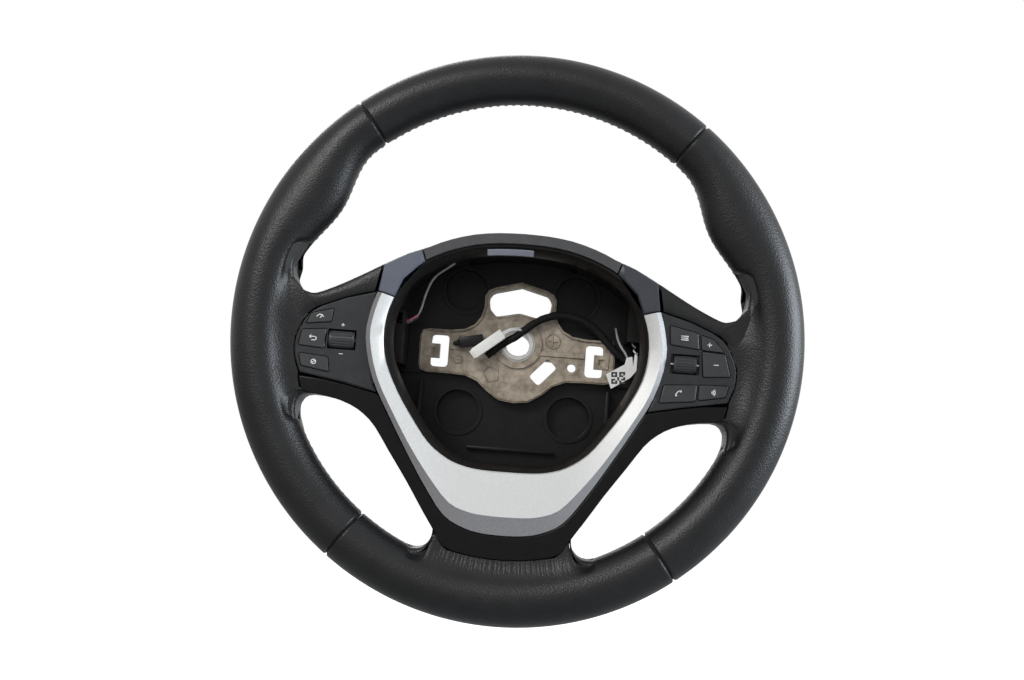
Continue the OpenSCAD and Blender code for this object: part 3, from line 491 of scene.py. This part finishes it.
def flared(t, side, f):
    """A point of the leather beyond the round part, f of the way to its edge."""
    goal = front_edge(t) if side > 0 else Vector(REAR_EDGE)
    start, w = grip(t, side * FLARE_DIR), opening(t, side)
    s = FLARE_DIR + f * (SEAM_DIR - FLARE_DIR) if side > 0 else -FLARE_DIR - f * (360 - SEAM_DIR - FLARE_DIR)
    even = goal
    if side > 0 and w:
        even = sum((front_edge(t + d) for d in (-3, -2, -1, 1, 2, 3)), goal) / 7
    middle = Vector((start.x + (even.x - start.x) * 0.45, even.y + (start.y - even.y) * 0.1))
    open_way = (1 - f) ** 2 * start + 2 * f * (1 - f) * middle + f * f * goal
    if side > 0:
        at_bottom = 240 < t % 360 < 300
        open_way.y += (PUCKER_HEIGHT * puckers(t) - PUCKER_SUNK) * ease((f - 0.25) / 0.5) * at_bottom
    return (1 - w) * grip(t, s - side * 0.8 * f) + w * open_way


def sections():
    """Where the points of a section lie: (side, share of the flare) or (0, direction)."""
    rear = [(-1, (FLARE_STEPS - i) / FLARE_STEPS) for i in range(FLARE_STEPS)]
    front = [(1, (i + 1) / FLARE_STEPS) for i in range(FLARE_STEPS)]
    turned = [(0, -FLARE_DIR + 2 * FLARE_DIR * i / ROUND_STEPS) for i in range(ROUND_STEPS + 1)]
    return rear + turned + front


SECTION = sections()


def on_leather(t, place, sink):
    """Radius and height of a point of the section at angle t, sunk into the grip by sink."""
    side, value = place
    p = flared(t, side, value) if side else grip(t, value)
    if sink:
        centre = Vector((WHEEL_R - half_width(t), DISH))
        p = p + (centre - p).normalized() * sink
    return p


# A column of the spun mesh stands SPUN_STEP degrees from the next, until it is laid at its own angle.
SPUN_STEP = 0.5
SEAM_COLUMNS = (0, 0.1, 0.22, 0.4, 0.7, 1.1)
COLUMNS_FROM, COLUMNS_TO = 1.7, 1.75


def column_step(t):
    """Degrees to the next column: few in the gathers and where an opening begins or ends."""
    if abs(t % 360 - 270) < 17.5:
        return 0.14
    if 0 < opening(t, 1) < 1 or 0 < opening(t, -1) < 1:
        return 0.25
    return 0.45 if opening(t, 1) else 0.9


def columns(a, b):
    """The angles of a panel's columns, which are close together at its seams."""
    turns = [a + SEAM_GAP + d for d in SEAM_COLUMNS]
    t = a + COLUMNS_FROM
    while t < b - COLUMNS_TO:
        turns.append(t)
        t += column_step(t)
    return turns + [b - SEAM_GAP - d for d in reversed(SEAM_COLUMNS)]


def leather_panel(name, node, a, b):
    """The panel from angle a to angle b: a line of points spun round, then laid over the foam."""
    turns = columns(a, b)
    bm = bmesh.new()
    mark = bm.verts.layers.int.new("place")
    line = [bm.verts.new((1, 0, i * 0.01)) for i in range(len(SECTION))]
    for i, v in enumerate(line):
        v[mark] = i
    edges = [bm.edges.new(pair) for pair in zip(line, line[1:])]
    bmesh.ops.spin(bm, geom=line + edges, cent=(0, 0, 0), axis=(0, 0, 1), dvec=(0, 0, 0),
                   angle=math.radians((len(turns) - 1) * SPUN_STEP), steps=len(turns) - 1, use_merge=False,
                   use_normal_flip=False, use_duplicate=False)
    for v in bm.verts:
        k = round(math.degrees(math.atan2(v.co.y, v.co.x)) % 360 / SPUN_STEP)
        t = turns[k]
        far = min(t - a - SEAM_GAP, b - SEAM_GAP - t) * math.radians(1) * SEAM_R
        p = on_leather(t, SECTION[v[mark]], SEAM_ROLL * (1 - min(far / SEAM_ROLL, 1)) ** 2)
        turned = math.radians(t)
        v.co = at(p.x * math.cos(turned), p.x * math.sin(turned), p.y)
    bmesh.ops.recalc_face_normals(bm, faces=bm.faces)
    middle = math.radians((a + b) / 2)
    outermost = at(WHEEL_R * math.cos(middle), WHEEL_R * math.sin(middle), DISH)
    outer = min(bm.faces, key=lambda f: (f.calc_center_median() - outermost).length)
    if outer.normal.dot(Vector((math.cos(middle), 0, math.sin(middle)))) < 0:
        bmesh.ops.reverse_faces(bm, faces=bm.faces)
    obj = piece(name, bm, "wheel", "leather", stands_for=(node,), corner=70)
    wall = obj.modifiers.new("thickness", "SOLIDIFY")
    wall.thickness = LEATHER_T * MM
    wall.offset = -1
    return obj


# Leather beside the spokes' openings, as pairs of points on its inner line and on its outer edge.
TONGUE = [
    ((142, -8), (151, -2)), ((138, 0.6), (155, 8)), ((136, 3.6), (157, 17)), ((134.5, 5.4), (156, 25)),
    ((132.6, 7.2), (151, 29)), ((130.5, 8.9), (145.8, 27.7)), ((128.8, 9.9), (143.9, 24.2)),
    ((127.2, 10.6), (141.4, 21.6)), ((124, 11.9), (136.5, 19.5)), ((118, 14.5), (130.8, 19.1)),
    ((111, 17.3), (118.8, 24.2)), ((102, 20), (106.3, 30.7)), ((93, 22.4), (89.6, 40.2)),
]
CORNER = [
    ((138, 10), (138.8, 20.2)), ((144, 13), (141.6, 21.7)), ((148.5, 17), (144.2, 24.4)),
    ((152, 22), (145.9, 27.9)), ((155, 29), (146.9, 34)), ((157, 37), (146.2, 41)),
    ((158, 46), (144.6, 48.5)), ((158, 56), (143.6, 55)),
]
LOW_CORNER = [
    ((136.4, -42.6), (130.5, -45.6)), ((139, -42.5), (133.5, -46.0)), ((142.5, -44), (136.2, -48.2)),
    ((146, -48), (137.9, -53.5)), ((148, -54), (137.6, -60)), ((148, -62), (135.2, -67.5)),
    ((147, -70), (133, -74)),
]
BOTTOM_CORNER = [
    ((43.3, -128.5), (44.1, -125.5)), ((44, -132.5), (44.5, -130)), ((45.2, -136.5), (46.4, -134.2)),
    ((47, -142), (50.5, -137.8)), ((53, -147), (56, -138.9)), ((62, -147), (62, -137.6)),
    ((68, -145), (67.5, -136)),
]
CROWN_SHARES = (0.2, 0.4, 0.6)
ROLLED_EDGE = [(3.2, 92.0), (1.8, 91.6), (0.8, 90.8), (0.2, 89.6), (0, 88.2)]
TONGUE_LOW, CORNER_LOW = 80, 67


def edging(name, side, stations, crown, low):
    """Leather beside a spoke's opening, rolled over its outer edge and down its wall to height low."""
    inner = smooth_line([Vector((*a, 0)) for a, b in stations], 6)
    outer = smooth_line([Vector((*b, 0)) for a, b in stations], 6)
    bm = bmesh.new()
    rings = []
    for a, b in zip(inner, outer):
        along = (b - a).normalized()
        profile = [(a, 89.0), (a, 91.4), (a + 0.5 * along, 91.95)]
        profile += [(a.lerp(b, f), FACE_Z + crown * math.sin(math.pi * f)) for f in CROWN_SHARES]
        profile += [(b - back * along, z) for back, z in ROLLED_EDGE + [(0, low), (0.5, low), (0.5, 88.9)]]
        ring = [bm.verts.new(at(side * p.x, p.y, z)) for p, z in profile]
        rings.append([bm.edges.new(pair) for pair in zip(ring, ring[1:] + ring[:1])])
    for one, two in zip(rings, rings[1:]):
        bmesh.ops.bridge_loops(bm, edges=one + two)
    bmesh.ops.holes_fill(bm, edges=rings[0] + rings[-1], sides=0)
    bmesh.ops.recalc_face_normals(bm, faces=bm.faces)
    return piece(name, bm, "wheel", "leather", corner=50)


STITCH_STEP, STITCH_DIR, STITCH_LENGTH, STITCH_R = 1.9, -162, 3.4, 0.33
STITCH_PROUD, STITCH_OVER, SEAM_CLEAR = 0.05, 0.12, 0.8


def stitch(bm, middle, along, out, length, radius):
    """One thread of a seam: a short round rod that narrows into the leather at both ends."""
    across = along.cross(out).normalized()
    frame_of = Matrix((along, across, out)).transposed().to_4x4()
    made = bmesh.ops.create_uvsphere(bm, u_segments=8, v_segments=6, radius=1)["verts"]
    for v in made:
        v.co = Vector((v.co.x * length / 2, v.co.y * radius, v.co.z * radius))
    bmesh.ops.transform(bm, verts=made, matrix=Matrix.Translation(middle) @ frame_of)


def on_rim(t, s, depth=0.0):
    """The point of the grip at angle t and direction s, depth mm under its surface."""
    p = grip(t, s, depth)
    a = math.radians(t)
    return at(p.x * math.cos(a), p.x * math.sin(a), p.y)


def inner_seam():
    """The sewn seam along the inside of the rim: crossed threads over a closed joint."""
    bm = bmesh.new()
    for i in range(round(360 / STITCH_STEP)):
        t = i * STITCH_STEP
        if opening(t, 1) > 0.02 or min(abs(t - x) for x in SEAM_ANGLES) < SEAM_CLEAR:
            continue
        centre = on_rim(t, STITCH_DIR)
        out = (centre - on_rim(t, STITCH_DIR, 5)).normalized()
        for lean, proud in ((5, STITCH_PROUD), (-5, STITCH_OVER)):
            along = (on_rim(t + 0.5, STITCH_DIR + lean) - on_rim(t - 0.5, STITCH_DIR - lean)).normalized()
            stitch(bm, centre + out * proud * MM, along, out, STITCH_LENGTH * MM, STITCH_R * MM)
    piece("inner_seam_threads", bm, "wheel", "leather", "thread")


def rim():
    leather_panel("leather_top_panel", "leather_top", SEAM_HIGH, 180 - SEAM_HIGH)
    leather_panel("leather_left_panel", "leather_left", 180 - SEAM_HIGH, 180 + SEAM_LOW)
    leather_panel("leather_bottom_panel", "leather_bottom", 180 + SEAM_LOW, 360 - SEAM_LOW)
    leather_panel("leather_right_panel", "leather_right", -SEAM_LOW, SEAM_HIGH)
    for name, side in (("left", -1), ("right", 1)):
        edging(f"leather_{name}_tongue", side, TONGUE, 0.5, TONGUE_LOW)
        edging(f"leather_{name}_corner", side, CORNER, 0.2, CORNER_LOW)
        edging(f"leather_{name}_low_corner", side, LOW_CORNER, 0.0, CORNER_LOW)
        edging(f"leather_{name}_bottom_corner", side, BOTTOM_CORNER, 0.0, CORNER_LOW)
    inner_seam()


# Hub, covers and switches

KEY_NODES = (
    "key_limit", "key_resume", "key_cancel", "key_mode", "key_plus", "key_minus", "key_phone", "key_voice",
)
PAINTED_NODES = (
    ("rim_foam", "foam"), ("cover_screws", "screw"), ("pack_screws", "screw"), ("pack_base_left", "inner"),
    ("pack_base_right", "inner"), ("board_left", "board"), ("board_right", "board"), ("key_mat_left", "mat"),
    ("key_mat_right", "mat"), ("rocker_pin", "pin"), ("roller_pin", "pin"), ("roller_cradle", "inner"),
    ("sleeve_grommet", "grommet"), ("wire_tag", "paper"), ("label_strip", "label"),
)
# Which faces of the silver U take the painted shade: those that face the driver and slope outward.
SHADE_BAND_CENTRE, SHADE_BAND_FACING, SHADE_BAND_OUTWARD = 0.03, -0.3, 0.06
CORNER_X, CORNER_RUN, CORNER_SHIFT, CORNER_FROM, CORNER_TO = 131, 8, 2.4, 15, 45


def trim_cover():
    """The silver U, with its sloping outer band in a darker copy of the satin finish, as painted shade."""
    obj = dressed("trim", "trim", 0, joined=False)
    mesh = obj.data
    mesh.materials.append(FINISHES["trim_painted_shade"])
    # Faces that face the driver and slope outward get the darker copy, as painted shade.
    for f in mesh.polygons:
        out = Vector((f.center.x, 0, f.center.z + SHADE_BAND_CENTRE)).normalized()
        f.material_index = int(f.normal.y < SHADE_BAND_FACING and f.normal.dot(out) > SHADE_BAND_OUTWARD)
    bm = bmesh.new()
    bm.from_mesh(mesh)
    for e in bm.edges:
        if len(e.link_faces) == 2 and e.link_faces[0].material_index != e.link_faces[1].material_index:
            e.smooth = False
    bm.to_mesh(mesh)
    bm.free()


def under_leather(bm):
    """Keeps the cover's walls just inside the leather that rounds the upper corners at the rim."""
    for v in bm.verts:
        x, y = v.co.x / MM, v.co.z / MM
        if CORNER_FROM < y < CORNER_TO and abs(x) > CORNER_X:
            v.co.x += math.copysign(CORNER_SHIFT * ease((abs(x) - CORNER_X) / CORNER_RUN), x) * MM


def shells():
    """The rigid pieces, softened at their edges where they show and painted where they don't."""
    dressed("armature", "cast", 0.5)
    dressed("hub_insert", "steel", 0.3)
    dressed("back_cover", "cover", 0.6, moved=under_leather)
    dressed("hub_liner", "liner", 0.4)
    trim_cover()
    dressed("lower_cover", "lower", 0.3, front=0.9)
    # The left shoulder takes the lighter copy of its plastic, as painted light.
    dressed("shoulder_left", "shoulder", 0.3, look="shoulder_painted_light")
    dressed("shoulder_right", "shoulder", 0.3)
    for node in ("pack_left", "pack_right"):
        dressed(node, "panel", 0.25)
    for node in KEY_NODES:
        dressed(node, "key", 0.2)
    for node in ("rocker", "roller"):
        dressed(node, "key", 0.2, segments=1)
    for node, slot in PAINTED_NODES:
        mesh = frame["nodes"][node].data
        mesh.materials.clear()
        mesh.materials.append(FINISHES[slot])


def small_tubes(lines, radius, sides=8):
    """One mesh of round tubes of a radius in mm along lines of points in mm."""
    bm = bmesh.new()
    for line in lines:
        part = tube([at(*p) for p in line], radius * MM, sides)
        mesh = bpy.data.meshes.new("stroke")
        part.to_mesh(mesh)
        part.free()
        bm.from_mesh(mesh)
        bpy.data.meshes.remove(mesh)
    return bm


# The hub plate: its height, its lip, the marks on it, and the right half of its outline.
PLATE_Z, PLATE_LIP, MARK_CENTRE, MARK_R, PLATE_INSET = 26.0, 1.2, 0.1, 0.55, 1.1
PLATE_HALF = [
    (0, -40.3), (10, -39), (19.5, -33), (26, -27), (34.5, -23.7), (45, -23.1), (61, -23.1),
    (65.8, -21.6), (67, -17.5), (67, 1.5), (65.5, 5.5), (61, 6.6), (47, 6.6), (37, 8),
    (30.5, 11.5), (26.5, 17), (24.5, 24), (24.5, 32), (22.5, 35.6), (18, 38), (0, 42.7),
]


def smooth_outline(half, inset):
    """The whole outline of a right half, moved in by inset."""
    whole = [Vector(p) for p in half] + [Vector((-x, y)) for x, y in reversed(half) if x > 0.01]
    n = len(whole)
    line = []
    for i, p in enumerate(whole):
        a, b = (p - whole[i - 1]).normalized(), (whole[(i + 1) % n] - p).normalized()
        turn = a + b
        line.append(p - inset * 2 * Vector((turn.y, -turn.x)) / turn.length_squared)
    return line + line[:1]


RING_X, RING_Y, RING_R, CROSS = 23.9, 3.8, 5, 3.5
PAD = [(-22.2, -20.5), (-19, -16.8), (-12, -18.4), (-12.2, -25.3), (-18.2, -27.1), (-22.2, -20.5)]
ARM_RIBS = [[(16.5, -3.4), (46, -4.0)], [(16.5, -5.8), (46, -6.4)]]


def cast_details():
    """The casting's raised marks: two rings, one with a cross, a five-sided pad, two ribs and the lip."""
    lines = [arc(RING_X, RING_Y, RING_R, 0, 360, 28),
             [(RING_X - CROSS, RING_Y), (RING_X + CROSS, RING_Y)],
             [(RING_X, RING_Y - CROSS), (RING_X, RING_Y + CROSS)],
             arc(-39.9, -13.2, 2.7, 0, 360, 18), [(-40.9, -13.2), (-38.9, -13.2)], PAD, *ARM_RIBS]
    lines = [[(x, y, PLATE_Z + MARK_CENTRE) for x, y in line] for line in lines]
    lip = smooth_outline(PLATE_HALF, PLATE_INSET)
    lines += [[(x, y, PLATE_Z + MARK_CENTRE + PLATE_LIP) for x, y in lip]]
    piece("casting_marks", small_tubes(lines, MARK_R), "wheel", "cast", corner=60)


TAG_PRINT_Z, INK_T = 46.48, 0.00006
TAG_CORNER, TAG_ACROSS, TAG_DOWN = Vector((64.2, -15.4)), Vector((9.3, 0.7)), Vector((0.6, -8.0))
TAG_ROWS = ("1110111", "1010101", "1110110", "0001001", "1101011", "1010100", "1110111")
TWIST_R, TWIST_TURNS, TWIST_POINTS = 0.75, 4.5, 24
HOLDER_LEADS = (
    ("pink_lead", "wire_pink",
     [(-68.3, 14.2, 41.4), (-71.6, 11.6, 41.9), (-74.5, 9.8, 41.8), (-78.5, 9.2, 41.2), (-82.3, 8.8, 41)]),
    ("dark_lead", "plug_black",
     [(-67.4, 12.4, 41.6), (-71.0, 9.4, 42.2), (-74.6, 7.0, 41.8), (-77.5, 6.6, 41.0)]),
)


def tag_blocks():
    """A plain block pattern printed on the tag."""
    bm = bmesh.new()
    for j, row in enumerate(TAG_ROWS):
        for i, dark in enumerate(row):
            if dark == "1":
                a = TAG_CORNER + TAG_ACROSS * (i / 7) + TAG_DOWN * (j / 7)
                made = bmesh.ops.create_grid(bm, x_segments=1, y_segments=1, size=0.5)["verts"]
                for v in made:
                    p = a + TAG_ACROSS * ((v.co.x + 0.5) / 7) + TAG_DOWN * ((0.5 - v.co.y) / 7)
                    v.co = at(p.x, p.y, TAG_PRINT_Z)
    bmesh.ops.remove_doubles(bm, verts=bm.verts, dist=1e-5)
    made = bmesh.ops.extrude_face_region(bm, geom=bm.faces[:])
    for v in (g for g in made["geom"] if isinstance(g, bmesh.types.BMVert)):
        v.co.y -= INK_T
    bmesh.ops.recalc_face_normals(bm, faces=bm.faces)
    piece("tag_blocks", bm, "wheel", "paper", "ink", corner=20)


def twisted_line(phase):
    """One wire of the pair that twists up from the tag."""
    line = []
    for i in range(TWIST_POINTS + 1):
        f = i / TWIST_POINTS
        x, y, z = 79.6 - 2.6 * f, -2.5 + 9.6 * f, 46.6 + 0.6 * f
        turn = phase + f * TWIST_TURNS * math.pi
        line.append(at(x + TWIST_R * math.cos(turn), y, z + TWIST_R * math.sin(turn)))
    return line


def fine_leads():
    """The wires that run to the tag, and the two leads at the left holder."""
    strand("tag_wire_white", twisted_line(0), FINE_LEAD_R, "wheel", "wire_white", "wire_white")
    strand("tag_wire_black", twisted_line(math.pi), FINE_LEAD_R, "wheel", "wire_white", "plug_black")
    for name, look, route in HOLDER_LEADS:
        strand(name, smooth_line([at(*p) for p in route], 6), FINE_LEAD_R, "wheel", "wire_white", look)


PROUD_Z, KEY_PRINT_R, PANEL_PRINT_R, PRINT_FLAT = FACE_Z + 0.8, 0.28, 0.25, 0.25


def printed(name, strokes, body, z, width, slot="key"):
    """Raised print: each stroke is a line of points in mm on the face at height z."""
    bm = small_tubes([[(x, y, z) for x, y in line] for line in strokes], width)
    level = at(0, 0, z).y
    for v in bm.verts:
        v.co.y = level + (v.co.y - level) * PRINT_FLAT
    return piece(name, bm, body, slot, "legend")


def arc(x, y, r, a, b, n=10):
    """Points of a circle of radius r about (x, y), from angle a to angle b."""
    turns = [math.radians(a + (b - a) * i / n) for i in range(n + 1)]
    return [(x + r * math.cos(turn), y + r * math.sin(turn)) for turn in turns]


def shifted(strokes, x, y, size=1.0):
    """The strokes of a picture at a size, moved to (x, y)."""
    return [[(x + px * size, y + py * size) for px, py in line] for line in strokes]


PICTURES = {
    "plus": [[(-1.6, 0), (1.6, 0)], [(0, -1.6), (0, 1.6)]],
    "minus": [[(-1.8, 0), (1.8, 0)]],
    "gauge": [arc(0, -0.8, 2.2, 15, 165), [(0, -0.8), (1.2, 0.8)]],
    "back_arrow": [[(-2, 0.6), (1.4, 0.6)], arc(1.4, -0.5, 1.1, 90, -90), [(1.4, -1.6), (-0.6, -1.6)],
                   [(-0.9, 1.6), (-2, 0.6), (-0.9, -0.4)]],
    "stop": [arc(0, 0, 1.7, 0, 360, 20), [(-1.2, -1.2), (1.2, 1.2)]],
    "bars": [[(-2.4, 1.2), (2.4, 1.2)], [(-2.4, 0), (2.4, 0)], [(-2.4, -1.2), (2.4, -1.2)]],
    "handset": [[(-1.7, -1.7), (-1.9, -0.7), (-0.9, 0.9), (0.7, 1.9), (1.7, 1.7)],
                [(-1.7, -1.7), (-0.9, -1.1)], [(1.7, 1.7), (1.1, 0.9)]],
    "sound": [arc(-1.6, 0, 0.9, -50, 50), arc(-1.6, 0, 2.0, -45, 45), arc(-1.6, 0, 3.1, -40, 40)],
}


KEY_PRINTS = (
    ("key_limit", "gauge", -126.5, 3.4, 1.0), ("key_resume", "back_arrow", -130.3, -10.4, 1.0),
    ("key_cancel", "stop", -128.4, -25.8, 0.85), ("key_mode", "bars", 107.2, 6.6, 1.0),
    ("key_plus", "plus", 123.3, 3.3, 0.9), ("key_minus", "minus", 128.2, -9.3, 0.9),
    ("key_phone", "handset", 105.6, -29.1, 1.0), ("key_voice", "sound", 127.3, -26.9, 0.9),
)
ROCKER_X, ROCKER_HIGH, ROCKER_LOW, ROCKER_PRINT = -111.5, -1.0, -19.6, 0.7


def legends():
    """The pictures on the keys, and the marks above and below the rocker."""
    for key, picture, x, y, size in KEY_PRINTS:
        printed(key + "_legend", shifted(PICTURES[picture], x, y, size), key, PROUD_Z, KEY_PRINT_R)
    marks = shifted(PICTURES["plus"], ROCKER_X, ROCKER_HIGH, ROCKER_PRINT)
    marks += shifted(PICTURES["minus"], ROCKER_X, ROCKER_LOW, ROCKER_PRINT)
    printed("rocker_marks", marks, "wheel", FACE_Z, PANEL_PRINT_R, "panel")


# Studio

WORLD_LEVEL, FLOOR_TONE, FLOOR_GLOW, FLOOR_R, FLOOR_Z = 0.25, 0.5, 0.85, 4, -0.3
LAMPS = (
    ("window_light", (2.0, -0.45, 0.35), 1.5, 85, (0.84, 0.92, 1.0)),
    ("ceiling_light", (-1.0, -1.7, 1.0), 0.8, 31, (1.0, 0.99, 0.97)),
    ("rear_light", (-0.6, 1.7, 1.2), 1.2, 16, (1.0, 1.0, 1.0)),
)


def larger(nodes, links, one, two):
    """The larger of two sockets' values."""
    node = nodes.new("ShaderNodeMath")
    node.operation = "MAXIMUM"
    links.new(one, node.inputs[0])
    links.new(two, node.inputs[1])
    return node.outputs["Value"]


def sky(nodes, strength):
    """A white background of a strength."""
    node = nodes.new("ShaderNodeBackground")
    node.inputs["Color"].default_value = (1, 1, 1, 1)
    node.inputs["Strength"].default_value = strength
    return node.outputs["Background"]


def white_world():
    """Soft light on the object, and plain white to the camera, to reflections and through clear pieces."""
    world = bpy.data.worlds.new("studio")
    bpy.context.scene.world = world
    world.use_nodes = True
    nodes, links = world.node_tree.nodes, world.node_tree.links
    nodes.clear()
    rays = nodes.new("ShaderNodeLightPath").outputs
    seen = larger(nodes, links, rays["Is Camera Ray"], rays["Is Glossy Ray"])
    seen = larger(nodes, links, seen, rays["Is Transmission Ray"])
    mix = nodes.new("ShaderNodeMixShader")
    links.new(seen, mix.inputs["Fac"])
    links.new(sky(nodes, WORLD_LEVEL), mix.inputs[1])
    links.new(sky(nodes, 1.0), mix.inputs[2])
    out = nodes.new("ShaderNodeOutputWorld")
    links.new(mix.outputs["Shader"], out.inputs["Surface"])


def pale_floor():
    """A matt floor that takes the shadow and glows for the camera alone."""
    material = bpy.data.materials.new("pale_floor")
    material.use_nodes = True
    nodes, links = material.node_tree.nodes, material.node_tree.links
    nodes["Principled BSDF"].inputs["Base Color"].default_value = (FLOOR_TONE, FLOOR_TONE, FLOOR_TONE, 1)
    nodes["Principled BSDF"].inputs["Roughness"].default_value = 0.9
    rays = nodes.new("ShaderNodeLightPath")
    glow = nodes.new("ShaderNodeEmission")
    glow.inputs["Color"].default_value = (1, 1, 1, 1)
    level = nodes.new("ShaderNodeMath")
    level.operation = "MULTIPLY"
    level.inputs[1].default_value = FLOOR_GLOW
    links.new(rays.outputs["Is Camera Ray"], level.inputs[0])
    links.new(level.outputs["Value"], glow.inputs["Strength"])
    both = nodes.new("ShaderNodeAddShader")
    links.new(nodes["Principled BSDF"].outputs["BSDF"], both.inputs[0])
    links.new(glow.outputs["Emission"], both.inputs[1])
    links.new(both.outputs["Shader"], nodes["Material Output"].inputs["Surface"])
    return material


def studio():
    """The white room: its world, its floor and three lamps."""
    scene = bpy.context.scene
    scene.view_settings.view_transform = "Standard"
    white_world()
    bm = bmesh.new()
    bmesh.ops.create_circle(bm, cap_ends=True, radius=FLOOR_R, segments=64)
    bmesh.ops.translate(bm, verts=bm.verts, vec=(0, 0, FLOOR_Z))
    mesh = bpy.data.meshes.new("floor")
    bm.to_mesh(mesh)
    bm.free()
    mesh.materials.append(pale_floor())
    floor = bpy.data.objects.new("floor", mesh)
    scene.collection.objects.link(floor)
    for name, place, size, power, colour in LAMPS:
        lamp = bpy.data.lights.new(name, "AREA")
        lamp.shape = "DISK"
        lamp.size = size
        lamp.energy = power
        lamp.color = colour
        obj = bpy.data.objects.new(name, lamp)
        obj.location = place
        obj.rotation_mode = "QUATERNION"
        obj.rotation_quaternion = (-Vector(place)).to_track_quat("-Z", "Y")
        scene.collection.objects.link(obj)


camera()
harness()
rim()
shells()
legends()
cast_details()
tag_blocks()
fine_leads()
studio()
